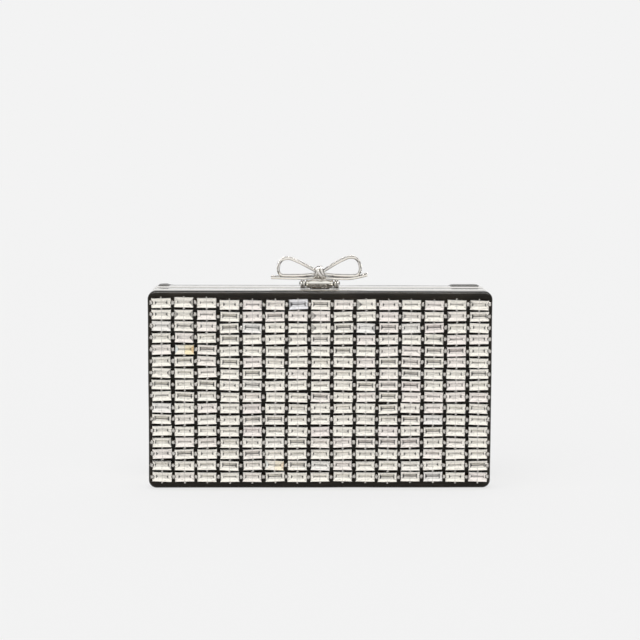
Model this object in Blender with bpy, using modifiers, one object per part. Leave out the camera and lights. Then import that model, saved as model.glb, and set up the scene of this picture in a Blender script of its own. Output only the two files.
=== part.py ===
"""Jewelled box clutch, as an assembly of its separate pieces.

Two covered half shells, each in a polished metal frame, are hinged along the bottom and close at the
parting plane. A bow on a small lever works the clasp on top. Fifteen columns of cut stones cover the front.
Metres, +Z up. The jewelled front faces -Y, and the origin lies under the middle of the bag.
"""

import math

import bmesh
import bpy
from mathutils import Matrix, Vector

# Bag, overall
bag_width = 0.180
bag_height = 0.104
frame_depth = 0.0136
panel_depth = 0.008

# Gap between pieces that seat on each other, how far a cutter runs past what it cuts,
# and how near two points count as one
seat_gap = 0.0003
cutter_overrun = 0.002
merge_distance = 0.000003

# Covered panels
panel_wall = 0.0015
panel_corner_radius = 0.0042
panel_edge_radius = 0.0020
panel_proud = 0.0003
panel_corner_steps = 6
panel_edge_steps = 3

# Metal frames
frame_wall = 0.0015
frame_edge_radius = 0.0004
flange_depth = 0.0020
spigot_length = 0.0045
spigot_wall = 0.0012
lip_height = 0.0015
lip_wall = 0.0010
lip_root = 0.0030

# Lining trays
lining_wall = 0.0010
lining_corner_radius = 0.0022
lining_edge_radius = 0.0014

# Stones
column_count = 15
row_count = 16
side_margin = 0.0022
top_margin = 0.0037
bottom_margin = 0.0041
column_gap = 0.0017
row_gap = 0.0008
setting_web = 0.0005
girdle_height = 0.0012
crown_height = 0.0008
crown_inset = 0.0011

# Hinge along the bottom
hinge_end_margin = 0.015
hinge_pin_radius = 0.0006
knuckle_wall = 0.0006
knuckle_count = 9
leaf_width = 0.006
leaf_thickness = 0.0006
leaf_drop = 0.0001
tongue_inset = 0.00015
groove_relief = 0.0004

# Clasp lever with its barrel and hook
barrel_length = 0.0148
barrel_radius = 0.0016
barrel_lift = 0.0007
barrel_setback = 0.0035
hook_width = 0.011
hook_thickness = 0.0008
hook_reach = 0.0072
hook_root = 0.00015
nose_depth = 0.0009
nose_length = 0.0008

# Clasp bracket and pin
ear_thickness = 0.0025
ear_top_radius = 0.0017
ear_foot_depth = 0.0058
web_thickness = 0.0010
web_height = 0.0015
clasp_pin_radius = 0.0005
pin_head_radius = 0.0010
pin_head_height = 0.0004

# Torsion spring inside the barrel
spring_radius = 0.00092
spring_wire_radius = 0.00013
spring_pitch = 0.00075
spring_turns = 4
spring_leg = 0.0010
spring_chamber_length = 0.0062
spring_chamber_wall = 0.0003

# Slot in the front frame, and the strike plate below it
slot_length = 0.0122
slot_width = 0.0024
slot_setback = 0.0026
strike_thickness = 0.0008
strike_length = 0.0184
strike_width = 0.0062
strike_corner_radius = 0.0006

# Bow
ribbon_width = 0.0045
ribbon_thickness = 0.0012
ribbon_edge = 0.00015
knot_width = 0.0055
knot_height = 0.0066
knot_depth = 0.0056
knot_edge = 0.0012
loop_reach = 0.0211
left_loop_rise = 0.0094
right_loop_rise = 0.0101
loop_throat_rise = 0.0025
tail_reach = 0.0250
tail_flare_rise = 0.0010

# Smoothness of round pieces
round_steps = 20
barrel_steps = 24
small_round_steps = 16
path_steps = 5
strike_corner_steps = 3
spring_steps = 12

# Outline of a pin head: shares of its radius and of its height
head_shares = ((0, 1), (0.5, 0.9), (1, 0.35), (1, 0))

# Outline of one bow loop past the knot: shares of its reach and of its rise above the lower run
loop_shares = (
    (0.607, 0.884),
    (0.772, 1.000),
    (0.925, 0.890),
    (1.000, 0.560),
    (0.995, 0.190),
    (0.930, 0.030),
    (0.820, 0.005),
    (0.500, 0.005),
)

# Right tail past the knot: shares of its reach and of its flare above the start
tail_shares = ((0.40, -0.25), (0.66, -0.30), (0.82, 0.30), (1.00, 1.00))

# Sizes that follow
hinge_bore_radius = hinge_pin_radius + seat_gap
knuckle_radius = hinge_bore_radius + knuckle_wall
hinge_height = knuckle_radius + seat_gap
hinge_length = bag_width - 2 * hinge_end_margin
stone_stand = seat_gap + setting_web + girdle_height + crown_height
parting_y = stone_stand / 2
frame_width = bag_width - 2 * panel_proud
frame_height = bag_height - 2 * panel_proud
frame_corner_radius = panel_corner_radius - panel_proud
frame_top = bag_height - panel_proud
mating_face = seat_gap / 2
frame_far_face = mating_face + frame_depth
panel_face = frame_far_face + seat_gap + panel_depth
lip_outset = frame_wall + seat_gap
lip_inset = lip_outset + lip_wall
channel_top = max(hinge_height + knuckle_radius, panel_proud + lip_inset) + seat_gap
channel_half_width = leaf_width + seat_gap
rail_top = channel_top + frame_wall
barrel_axis_z = frame_top + barrel_lift + barrel_radius
barrel_axis_y = parting_y + barrel_setback
bracket_half_width = barrel_length / 2 + seat_gap + ear_thickness
spring_chamber_radius = barrel_radius - spring_chamber_wall
clasp_bore_radius = clasp_pin_radius + seat_gap
knot_bottom = barrel_radius + seat_gap
tail_height = knot_bottom + seat_gap + ribbon_thickness / 2
lower_run_height = tail_height + ribbon_thickness + seat_gap
knot_side = knot_width / 2 + seat_gap
throat_side = knot_side + ribbon_thickness / 4


def clear_scene():
    for obj in list(bpy.data.objects):
        bpy.data.objects.remove(obj, do_unlink=True)


def new_collection(name):
    collection = bpy.data.collections.new(name)
    bpy.context.scene.collection.children.link(collection)
    return collection


def linear(channel):
    return channel / 12.92 if channel <= 0.04045 else ((channel + 0.055) / 1.055) ** 2.4


def finish(name, colour, roughness, metallic=0.0):
    """A material from an sRGB hex colour."""
    material = bpy.data.materials.new(name)
    material.use_nodes = True
    shader = material.node_tree.nodes["Principled BSDF"]
    channels = [linear(int(colour[start:start + 2], 16) / 255) for start in (0, 2, 4)]
    shader.inputs["Base Color"].default_value = (*channels, 1)
    shader.inputs["Roughness"].default_value = roughness
    shader.inputs["Metallic"].default_value = metallic
    return material


def new_object(name, mesh, material, collection, parent=None, location=(0, 0, 0), turn=(0, 0, 0)):
    obj = bpy.data.objects.new(name, mesh)
    collection.objects.link(obj)
    obj.parent = parent
    obj.location = location
    obj.rotation_euler = turn
    if material:
        obj.data.materials.append(material)
    return obj


def new_empty(name, location):
    empty = bpy.data.objects.new(name, None)
    clutch.objects.link(empty)
    empty.location = location
    return empty


def as_cutter(obj):
    """A cutter is drawn as a wire and is no piece of the bag."""
    for owner in list(obj.users_collection):
        owner.objects.unlink(obj)
    cutters.objects.link(obj)
    obj.hide_render = True
    obj.display_type = "WIRE"
    return obj


def combine(target, other, operation):
    modifier = target.modifiers.new(operation.lower(), "BOOLEAN")
    modifier.operation = operation
    modifier.object = other
    modifier.solver = "EXACT"


def bevel(obj, width, segments, angle=math.radians(40)):
    modifier = obj.modifiers.new("edges", "BEVEL")
    modifier.width = width
    modifier.segments = segments
    modifier.limit_method = "ANGLE"
    modifier.angle_limit = angle


def smooth(obj, angle=math.radians(35)):
    obj.data.shade_smooth()
    obj.data.set_sharp_from_angle(angle=angle)


def box(name, low, high, material, parent=None):
    """A box between two corners, in its parent's frame."""
    low, high = Vector(low), Vector(high)
    bm = bmesh.new()
    bmesh.ops.create_cube(bm, size=1)
    bmesh.ops.scale(bm, vec=high - low, verts=bm.verts)
    mesh = bpy.data.meshes.new(name)
    bm.to_mesh(mesh)
    bm.free()
    return new_object(name, mesh, material, clutch, parent, (low + high) / 2)


def rod(name, radius, length, steps, material, parent=None, location=(0, 0, 0)):
    """A round bar along X, centred on its location."""
    bm = bmesh.new()
    bmesh.ops.create_cone(
        bm, cap_ends=True, segments=steps, radius1=radius, radius2=radius, depth=length,
        matrix=Matrix.Rotation(math.pi / 2, 4, "Y"),
    )
    mesh = bpy.data.meshes.new(name)
    bm.to_mesh(mesh)
    bm.free()
    obj = new_object(name, mesh, material, clutch, parent, location)
    smooth(obj)
    return obj


def turned(name, profile, steps, material, parent=None, location=(0, 0, 0)):
    """A turned piece along X from (radius, place along X) points, from the far end to the near end."""
    mesh = bpy.data.meshes.new(name)
    points = [(radius, 0, place) for radius, place in profile]
    mesh.from_pydata(points, [(index, index + 1) for index in range(len(points) - 1)], [])
    obj = new_object(name, mesh, material, clutch, parent, location, (0, math.pi / 2, 0))
    screw = obj.modifiers.new("turn", "SCREW")
    screw.steps = steps
    screw.render_steps = steps
    screw.use_merge_vertices = True
    screw.merge_threshold = merge_distance
    return obj


def closed_curve(name, outline):
    """A closed flat outline in the local XY plane."""
    curve = bpy.data.curves.new(name, "CURVE")
    curve.dimensions = "2D"
    spline = curve.splines.new("POLY")
    spline.points.add(len(outline) - 1)
    for point, (x, y) in zip(spline.points, outline):
        point.co = (x, y, 0, 1)
    spline.use_cyclic_u = True
    return curve


def curve_to_mesh(obj):
    """Replace a curve object by a closed mesh object of the same name and place."""
    graph = bpy.context.evaluated_depsgraph_get()
    mesh = bpy.data.meshes.new_from_object(obj.evaluated_get(graph))
    bm = bmesh.new()
    bm.from_mesh(mesh)
    bmesh.ops.remove_doubles(bm, verts=bm.verts, dist=merge_distance)
    bmesh.ops.recalc_face_normals(bm, faces=bm.faces)
    bm.to_mesh(mesh)
    bm.free()
    name = obj.name
    material = obj.data.materials[0] if obj.data.materials else None
    obj.name = name + "_curve"
    solid = new_object(name, mesh, None, clutch, obj.parent, obj.location, obj.rotation_euler)
    if material and not mesh.materials:
        mesh.materials.append(material)
    bpy.data.objects.remove(obj, do_unlink=True)
    return solid


def plate(name, outline, thickness, material, parent=None, location=(0, 0, 0), turn=(0, 0, 0)):
    """A flat outline given a thickness, centred on its own plane."""
    bm = bmesh.new()
    face = bm.faces.new([bm.verts.new((x, y, -thickness / 2)) for x, y in outline])
    raised = bmesh.ops.extrude_face_region(bm, geom=[face])["geom"]
    top = [item for item in raised if isinstance(item, bmesh.types.BMVert)]
    bmesh.ops.translate(bm, vec=(0, 0, thickness), verts=top)
    bmesh.ops.recalc_face_normals(bm, faces=bm.faces)
    mesh = bpy.data.meshes.new(name)
    bm.to_mesh(mesh)
    bm.free()
    return new_object(name, mesh, material, clutch, parent, location, turn)


def arc(centre, radius, start, end, steps):
    angles = [math.radians(start + (end - start) * step / steps) for step in range(steps + 1)]
    return [(centre[0] + radius * math.cos(a), centre[1] + radius * math.sin(a)) for a in angles]


def rounded_rectangle(width, height, radius, steps):
    across, up = width / 2 - radius, height / 2 - radius
    corners = ((across, up, 0), (-across, up, 90), (-across, -up, 180), (across, -up, 270))
    points = []
    for x, y, start in corners:
        points += arc((x, y), radius, start, start + 90, steps)
    return points


def tray(name, width, height, depth, wall, corner, edge, material, parent, location, turn):
    """An open tray with rounded corners: its floor faces away from the parting plane, along local Z."""
    bm = bmesh.new()
    bmesh.ops.create_cube(bm, size=1)
    bmesh.ops.scale(bm, vec=(width, height, depth), verts=bm.verts)
    bmesh.ops.translate(bm, vec=(0, 0, depth / 2), verts=bm.verts)
    uprights = [e for e in bm.edges if abs((e.verts[0].co - e.verts[1].co).z) > depth / 2]
    bmesh.ops.bevel(
        bm, geom=uprights, offset=corner, segments=panel_corner_steps, affect="EDGES", profile=0.5,
    )
    rim = [e for e in bm.edges if all(v.co.z > depth - wall / 10 for v in e.verts)]
    bmesh.ops.bevel(bm, geom=rim, offset=edge, segments=panel_edge_steps, affect="EDGES", profile=0.5)
    mouth = [f for f in bm.faces if all(v.co.z < wall / 10 for v in f.verts)]
    bmesh.ops.delete(bm, geom=mouth, context="FACES_ONLY")
    mesh = bpy.data.meshes.new(name)
    bm.to_mesh(mesh)
    bm.free()
    obj = new_object(name, mesh, material, clutch, parent, location, turn)
    shell = obj.modifiers.new("wall", "SOLIDIFY")
    shell.thickness = wall
    shell.offset = -1
    shell.use_even_offset = True
    smooth(obj)
    return obj


def frame_section(with_lip):
    """Section of a frame: inward distances are negative, the mating face is at zero."""
    spigot_outer = panel_proud - panel_wall - seat_gap
    spigot_inner = spigot_outer - spigot_wall
    radius = frame_edge_radius
    section = arc((-radius, radius), radius, -90, 0, 2)
    section += arc((-radius, frame_depth - radius), radius, 0, 90, 2)
    section += [
        (spigot_outer, frame_depth),
        (spigot_outer, frame_depth + spigot_length),
        (spigot_inner, frame_depth + spigot_length),
        (spigot_inner, frame_depth - flange_depth),
        (-frame_wall, frame_depth - flange_depth),
    ]
    if with_lip:
        section += [
            (-frame_wall, lip_root + lip_wall),
            (-lip_inset, lip_root),
            (-lip_inset, -lip_height),
            (-lip_outset, -lip_height),
            (-lip_outset, 0),
        ]
    else:
        section.append((-frame_wall, 0))
    return section


def frame_ring(name, with_lip, material, parent, location, turn):
    """The frame's section swept round the rounded outline of the bag."""
    section = new_object("section", closed_curve("section", frame_section(with_lip)), None, cutters)
    outline = rounded_rectangle(frame_width, frame_height, frame_corner_radius, panel_corner_steps)
    path = closed_curve(name, outline)
    path.dimensions = "3D"
    path.twist_mode = "Z_UP"
    path.bevel_mode = "OBJECT"
    path.bevel_object = section
    ring = new_object(name, path, material, clutch, parent, location, turn)
    ring = curve_to_mesh(ring)
    bpy.data.objects.remove(section, do_unlink=True)
    smooth(ring)
    return ring


def hinge_cutters():
    """Room for the hinge: a channel for the leaves, and a deeper groove for the knuckles right across."""
    groove_half_width = knuckle_radius + seat_gap
    rooms = (
        ("leaf_channel", hinge_length / 2 + seat_gap, channel_half_width, channel_top),
        ("knuckle_groove", bag_width / 2 + cutter_overrun, groove_half_width, channel_top + groove_relief),
    )
    cuts = []
    for name, across, wide, top in rooms:
        low = (-across, parting_y - wide, -cutter_overrun)
        cuts.append(as_cutter(box(name, low, (across, parting_y + wide, top), None)))
    return cuts


def hinge_rail(name, side, parent):
    """The roof and back wall of the hinge channel, inside the front (side -1) or back (side 1) frame."""
    half = hinge_length / 2 + seat_gap + frame_wall
    near = side * mating_face
    far = side * (channel_half_width + frame_wall)
    base = panel_proud + frame_wall / 2 - parent.location.z
    low = (-half, min(near, far), base)
    high = (half, max(near, far), rail_top - parent.location.z)
    return as_cutter(box(name, low, high, None, parent))


def add_frames():
    front_turn, back_turn = (math.pi / 2, 0, 0), (math.pi / 2, 0, math.pi)
    middle = bag_height / 2
    front = frame_ring(
        "front_frame", False, polished_metal, lid_axis, (0, -mating_face, middle - hinge_height), front_turn,
    )
    back = frame_ring("back_frame", True, polished_metal, back_half, (0, mating_face, middle), back_turn)
    rooms = hinge_cutters()
    for frame, name, side, parent in ((front, "front_rail", -1, lid_axis), (back, "back_rail", 1, back_half)):
        combine(frame, hinge_rail(name, side, parent), "UNION")
        for room in rooms:
            combine(frame, room, "DIFFERENCE")
    slot_middle = parting_y - slot_setback - slot_width / 2
    reach = frame_wall + cutter_overrun
    slot = box(
        "slot",
        (-slot_length / 2, slot_middle - slot_width / 2, frame_top - reach),
        (slot_length / 2, slot_middle + slot_width / 2, frame_top + reach),
        None,
    )
    combine(front, as_cutter(slot), "DIFFERENCE")


def add_strike_plate():
    """Steel plate under the front frame's top wall, with the same slot as the frame."""
    middle = lip_height + seat_gap + strike_width / 2
    height = frame_top - frame_wall - seat_gap - strike_thickness / 2 - hinge_height
    outline = rounded_rectangle(strike_length, strike_width, strike_corner_radius, strike_corner_steps)
    strike = plate("strike_plate", outline, strike_thickness, plain_steel, lid_axis, (0, -middle, height))
    outline = rounded_rectangle(slot_length, slot_width, strike_corner_radius, strike_corner_steps)
    place = (0, -(slot_setback + slot_width / 2), height)
    slot = plate("strike_slot", outline, strike_thickness + 2 * cutter_overrun, None, lid_axis, place)
    combine(strike, as_cutter(slot), "DIFFERENCE")


def add_panels():
    front_turn, back_turn = (math.pi / 2, 0, 0), (math.pi / 2, 0, math.pi)
    rim = frame_far_face + seat_gap
    middle = bag_height / 2
    sizes = (bag_width, bag_height, panel_depth, panel_wall, panel_corner_radius, panel_edge_radius)
    tray("front_panel", *sizes, black_satin, lid_axis, (0, -rim, middle - hinge_height), front_turn)
    tray("back_panel", *sizes, black_satin, back_half, (0, rim, middle), back_turn)


def add_linings():
    """Lining trays stand clear of the frames' lip and of the hinge rail, and reach the panels' floors."""
    clear = lip_inset + seat_gap
    low, high = rail_top + seat_gap, frame_top - clear
    width = frame_width - 2 * clear
    mouth = mating_face + seat_gap
    depth = panel_face - panel_wall - seat_gap - mouth
    sizes = (width, high - low, depth, lining_wall, lining_corner_radius, lining_edge_radius)
    middle = (low + high) / 2
    turn = (math.pi / 2, 0, 0)
    tray("front_lining", *sizes, lining_cloth, lid_axis, (0, -mouth, middle - hinge_height), turn)
    tray("back_lining", *sizes, lining_cloth, back_half, (0, mouth, middle), (math.pi / 2, 0, math.pi))


def add_stones():
    """Columns of cut stones on a common web. Each stone has a girdle, a bevelled crown and a flat table."""
    column_pitch = (bag_width - 2 * side_margin + column_gap) / column_count
    row_pitch = (bag_height - top_margin - bottom_margin + row_gap) / row_count
    stone_length, stone_height = column_pitch - column_gap, row_pitch - row_gap
    girdle = setting_web + girdle_height
    comb = [(0, 0)]
    for row in range(row_count):
        low = row * row_pitch
        comb += [(girdle, low), (girdle, low + stone_height)]
        if row < row_count - 1:
            comb += [(setting_web, low + stone_height), (setting_web, low + row_pitch)]
    comb.append((0, comb[-1][1]))
    strip = plate("stone_strip", comb, stone_length, set_crystal)
    bm = bmesh.new()
    bm.from_mesh(strip.data)
    tables = [f for f in bm.faces if all(v.co.x > girdle - setting_web / 10 for v in f.verts)]
    bmesh.ops.inset_individual(bm, faces=tables, thickness=crown_inset, depth=crown_height)
    bm.to_mesh(strip.data)
    bm.free()
    mesh = strip.data
    bpy.data.objects.remove(strip, do_unlink=True)
    turn = Matrix(((0, 0, 1), (-1, 0, 0), (0, 1, 0))).to_euler()
    first = -bag_width / 2 + side_margin + stone_length / 2
    for column in range(column_count):
        place = (first + column * column_pitch, -(panel_face + seat_gap), bottom_margin - hinge_height)
        name = "stone_column_{:02d}".format(column + 1)
        new_object(name, mesh, None, clutch, lid_axis, place, turn)


def add_hinge():
    """Two leaves with alternating knuckles on one pin, like a piano hinge."""
    pitch = (hinge_length + seat_gap) / knuckle_count
    knuckle_length = pitch - seat_gap
    starts = [-hinge_length / 2 + index * pitch for index in range(knuckle_count)]
    bore_length = hinge_length + 2 * cutter_overrun
    plate_height = knuckle_radius - leaf_drop - leaf_thickness / 2
    for name, side, own, parent, height in (
        ("hinge_front_leaf", -1, starts[1::2], lid_axis, 0),
        ("hinge_back_leaf", 1, starts[0::2], back_half, hinge_height),
    ):
        leaf = comb_leaf(name, side, own, knuckle_length, parent, height + plate_height)
        for start in own:
            place = (start + knuckle_length / 2, 0, height)
            knuckle = rod(name + "_knuckle", knuckle_radius, knuckle_length, round_steps, None, parent, place)
            combine(leaf, as_cutter(knuckle), "UNION")
        bore = rod(name + "_bore", hinge_bore_radius, bore_length, round_steps, None, parent, (0, 0, height))
        combine(leaf, as_cutter(bore), "DIFFERENCE")
    place = (0, 0, hinge_height)
    rod("hinge_pin", hinge_pin_radius, hinge_length, small_round_steps, plain_steel, back_half, place)


def comb_leaf(name, side, own, knuckle_length, parent, height):
    """A leaf's flat plate: a tongue runs into each of its own knuckles, and it stays clear of the others."""
    half, edge, notch = hinge_length / 2, side * leaf_width, side * (knuckle_radius + seat_gap)
    tip = side * knuckle_wall / 2
    outline = [(-half, edge), (-half, notch)]
    for start in own:
        left = start + tongue_inset
        right = start + knuckle_length - tongue_inset
        outline += [(left, notch), (left, tip), (right, tip), (right, notch)]
    outline += [(half, notch), (half, edge)]
    return plate(name, outline, leaf_thickness, plain_steel, parent, (0, 0, height))


def add_bracket():
    """Two ears and the web behind the barrel, cut from one block of the ears' profile."""
    foot = ear_foot_depth / 2
    ground = frame_top + seat_gap - barrel_axis_z
    profile = [(-foot, ground), (foot, ground)] + arc((0, 0), ear_top_radius, 15, 165, 8)
    turn = Matrix(((0, 0, 1), (1, 0, 0), (0, 1, 0))).to_euler()
    place = (0, barrel_setback, barrel_axis_z)
    width = 2 * bracket_half_width
    bracket = plate("clasp_bracket", profile, width, polished_metal, back_half, place, turn)
    half = barrel_length / 2 + seat_gap
    web_front = barrel_setback + max(foot - web_thickness, barrel_radius + seat_gap)
    room = box(
        "barrel_room",
        (-half, barrel_setback - foot - cutter_overrun, barrel_axis_z - barrel_radius - cutter_overrun),
        (half, web_front, barrel_axis_z + barrel_radius + cutter_overrun),
        None, back_half,
    )
    above = box(
        "web_room",
        (-half, barrel_setback - foot, frame_top + seat_gap + web_height),
        (half, barrel_setback + foot + cutter_overrun, barrel_axis_z + barrel_radius + 2 * cutter_overrun),
        None, back_half,
    )
    length = width + 2 * cutter_overrun
    hole = rod("pin_hole", clasp_bore_radius, length, small_round_steps, None, back_half, place)
    for cutter in (room, above, hole):
        combine(bracket, as_cutter(cutter), "DIFFERENCE")


def add_clasp_pin():
    """Pin with a domed head at each end, outside the ears."""
    shoulder = bracket_half_width + seat_gap
    head = [(across * pin_head_radius, shoulder + up * pin_head_height) for across, up in head_shares]
    head.append((clasp_pin_radius, shoulder))
    profile = head + [(radius, -along) for radius, along in reversed(head)]
    place = (0, barrel_setback, barrel_axis_z)
    turned("clasp_pin", profile, small_round_steps, plain_steel, back_half, place)


def add_lever():
    """Barrel on the pin, with a hook that reaches forward over the slot in the front frame."""
    lever = rod("clasp_lever", barrel_radius, barrel_length, barrel_steps, polished_metal, lever_axis)
    nose_tip = -(barrel_radius + barrel_lift - seat_gap)
    under = nose_tip + nose_depth
    over = under + hook_thickness
    near = -(clasp_bore_radius + hook_root)
    far = -hook_reach
    outline = [
        (near, over), (far + nose_length / 2, over), (far, over - hook_thickness / 2), (far, nose_tip),
        (far + nose_length, nose_tip), (far + nose_length, under), (near, under),
    ]
    turn = Matrix(((0, 0, 1), (1, 0, 0), (0, 1, 0))).to_euler()
    hook = plate("hook", outline, hook_width, None, lever_axis, (0, 0, 0), turn)
    combine(lever, as_cutter(hook), "UNION")
    length = barrel_length + 2 * cutter_overrun
    bore = rod("lever_bore", clasp_bore_radius, length, round_steps, None, lever_axis)
    combine(lever, as_cutter(bore), "DIFFERENCE")
    length = spring_chamber_length + cutter_overrun
    place = (-(barrel_length / 2 + cutter_overrun - length / 2), 0, 0)
    chamber = rod("spring_chamber", spring_chamber_radius, length, barrel_steps, None, lever_axis, place)
    combine(lever, as_cutter(chamber), "DIFFERENCE")


def add_spring():
    """Torsion coil round the pin, with a straight leg at each end."""
    coil_length = spring_turns * spring_pitch
    first = -barrel_length / 2 + spring_leg
    points = [(first - spring_leg, spring_radius, 0)]
    for step in range(spring_turns * spring_steps + 1):
        angle = 2 * math.pi * step / spring_steps
        along = first + coil_length * step / (spring_turns * spring_steps)
        points.append((along, spring_radius * math.cos(angle), spring_radius * math.sin(angle)))
    points.append((first + coil_length + spring_leg, spring_radius, 0))
    curve = bpy.data.curves.new("clasp_spring", "CURVE")
    curve.dimensions = "3D"
    curve.bevel_depth = spring_wire_radius
    curve.bevel_resolution = 1
    curve.use_fill_caps = True
    spline = curve.splines.new("POLY")
    spline.points.add(len(points) - 1)
    for point, place in zip(spline.points, points):
        point.co = (*place, 1)
    place = (0, barrel_setback, barrel_axis_z)
    curve_to_mesh(new_object("clasp_spring", curve, spring_steel, clutch, back_half, place))


def ribbon(name, points, material):
    """A strip standing on edge along a smooth flat path, from (x, height above the clasp pin) points."""
    curve = bpy.data.curves.new(name, "CURVE")
    curve.dimensions = "2D"
    curve.fill_mode = "NONE"
    curve.extrude = ribbon_width / 2
    curve.resolution_u = path_steps
    spline = curve.splines.new("BEZIER")
    spline.bezier_points.add(len(points) - 1)
    for point, (x, z) in zip(spline.bezier_points, points):
        point.co = (x, z, 0)
        point.handle_left_type = "AUTO"
        point.handle_right_type = "AUTO"
    path = new_object(name, curve, material, clutch, lever_axis, (0, 0, 0), (math.pi / 2, 0, 0))
    strip = curve_to_mesh(path)
    wall = strip.modifiers.new("thickness", "SOLIDIFY")
    wall.thickness = ribbon_thickness
    wall.offset = 0
    wall.use_even_offset = True
    bevel(strip, ribbon_edge, 1)
    smooth(strip)
    return strip


def add_bow():
    for name, side, rise in (("bow_loop_left", -1, left_loop_rise), ("bow_loop_right", 1, right_loop_rise)):
        points = [(side * throat_side, lower_run_height + loop_throat_rise)]
        points += [(side * across * loop_reach, lower_run_height + up * rise) for across, up in loop_shares]
        points.append((side * knot_side, lower_run_height))
        ribbon(name, points, pave_metal)
    right = [(across * tail_reach, tail_height + up * tail_flare_rise) for across, up in tail_shares]
    ribbon("bow_tails", [(-tail_reach, tail_height), (0, tail_height)] + right, pave_metal)
    knot_low = tail_height + ribbon_thickness / 2 + seat_gap
    knot = box(
        "bow_knot",
        (-knot_width / 2, -knot_depth / 2, knot_low),
        (knot_width / 2, knot_depth / 2, knot_low + knot_height),
        pave_metal, lever_axis,
    )
    bevel(knot, knot_edge, 3)
    smooth(knot)


clear_scene()
clutch = new_collection("box_clutch")
cutters = new_collection("cutters")

black_satin = finish("covered panel, black satin", "17151A", 0.55)
polished_metal = finish("nickel plated brass, polished", "D9D9D6", 0.12, 1.0)
plain_steel = finish("steel, bright", "B4B5B6", 0.3, 1.0)
spring_steel = finish("spring steel", "8C8E92", 0.35, 1.0)
set_crystal = finish("cut crystal in silver settings", "F4F1EA", 0.08)
pave_metal = finish("silver metal set with small stones", "DDDBD6", 0.3, 1.0)
lining_cloth = finish("lining satin, black", "201E22", 0.7)

back_half = new_empty("back_half", (0, parting_y, 0))
lid_axis = new_empty("lid_hinge_axis", (0, parting_y, hinge_height))
lever_axis = new_empty("lever_axis", (0, barrel_axis_y, barrel_axis_z))

add_panels()
add_frames()
add_strike_plate()
add_linings()
add_stones()
add_hinge()
add_bracket()
add_clasp_pin()
add_lever()
add_spring()
add_bow()
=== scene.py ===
"""Jewelled box clutch: the looks of every piece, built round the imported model."""

import math

import bmesh
import bpy
from mathutils import Euler, Matrix, Vector, noise


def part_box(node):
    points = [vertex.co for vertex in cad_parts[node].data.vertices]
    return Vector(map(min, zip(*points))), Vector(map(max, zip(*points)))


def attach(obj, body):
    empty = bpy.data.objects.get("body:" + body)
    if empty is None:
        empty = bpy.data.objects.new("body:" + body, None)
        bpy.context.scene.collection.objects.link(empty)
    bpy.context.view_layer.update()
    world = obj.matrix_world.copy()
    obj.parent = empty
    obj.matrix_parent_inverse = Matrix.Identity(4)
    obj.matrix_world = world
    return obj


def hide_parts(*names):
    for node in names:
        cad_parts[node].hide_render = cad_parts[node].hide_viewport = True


bl_info = {
    "name": "Jewelled box clutch",
    "version": (1, 0, 0),
    "blender": (4, 5, 0),
    "location": "3D View > Sidebar > Clutch",
    "description": "Builds the visible pieces of a jewelled box clutch round its packed model",
    "category": "Object",
}

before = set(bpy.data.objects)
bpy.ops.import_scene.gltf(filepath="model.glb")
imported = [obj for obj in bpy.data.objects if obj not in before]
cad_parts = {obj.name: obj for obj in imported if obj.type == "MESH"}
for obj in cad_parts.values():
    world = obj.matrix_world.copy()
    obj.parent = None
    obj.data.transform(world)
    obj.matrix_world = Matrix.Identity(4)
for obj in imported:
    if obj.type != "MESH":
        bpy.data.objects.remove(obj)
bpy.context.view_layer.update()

column_names = sorted(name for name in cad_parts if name.startswith("stone_column"))
first_column, second_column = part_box(column_names[0]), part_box(column_names[1])
column_pitch = second_column[0].x - first_column[0].x
stone_length = first_column[1].x - first_column[0].x
panel_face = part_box("front_panel")[0].y
stone_stand = panel_face - first_column[0].y
frame_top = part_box("front_frame")[1].z
barrel_low, barrel_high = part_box("clasp_lever")
pin_low, pin_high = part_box("clasp_pin")
axis_y, axis_z = (pin_low.y + pin_high.y) / 2, (pin_low.z + pin_high.z) / 2


def srgb(code):
    """Linear colour and alpha from an sRGB hex value."""
    values = [int(code[place:place + 2], 16) / 255 for place in (0, 2, 4)]
    return (*[v / 12.92 if v <= 0.04045 else ((v + 0.055) / 1.055) ** 2.4 for v in values], 1.0)


def length(name, description, default):
    return bpy.props.FloatProperty(
        name=name, description=description, default=default, precision=5, subtype="DISTANCE", unit="LENGTH",
    )


def angle(name, description, degrees):
    return bpy.props.FloatProperty(
        name=name, description=description, default=math.radians(degrees), subtype="ANGLE", unit="ROTATION",
    )


def share(name, description, default):
    return bpy.props.FloatProperty(name=name, description=description, default=default, subtype="FACTOR")


def count(name, description, default):
    return bpy.props.IntProperty(name=name, description=description, default=default)


def colour(name, description, code):
    return bpy.props.FloatVectorProperty(
        name=name, description=description, default=srgb(code), size=4, min=0, max=1, subtype="COLOR",
    )


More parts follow.
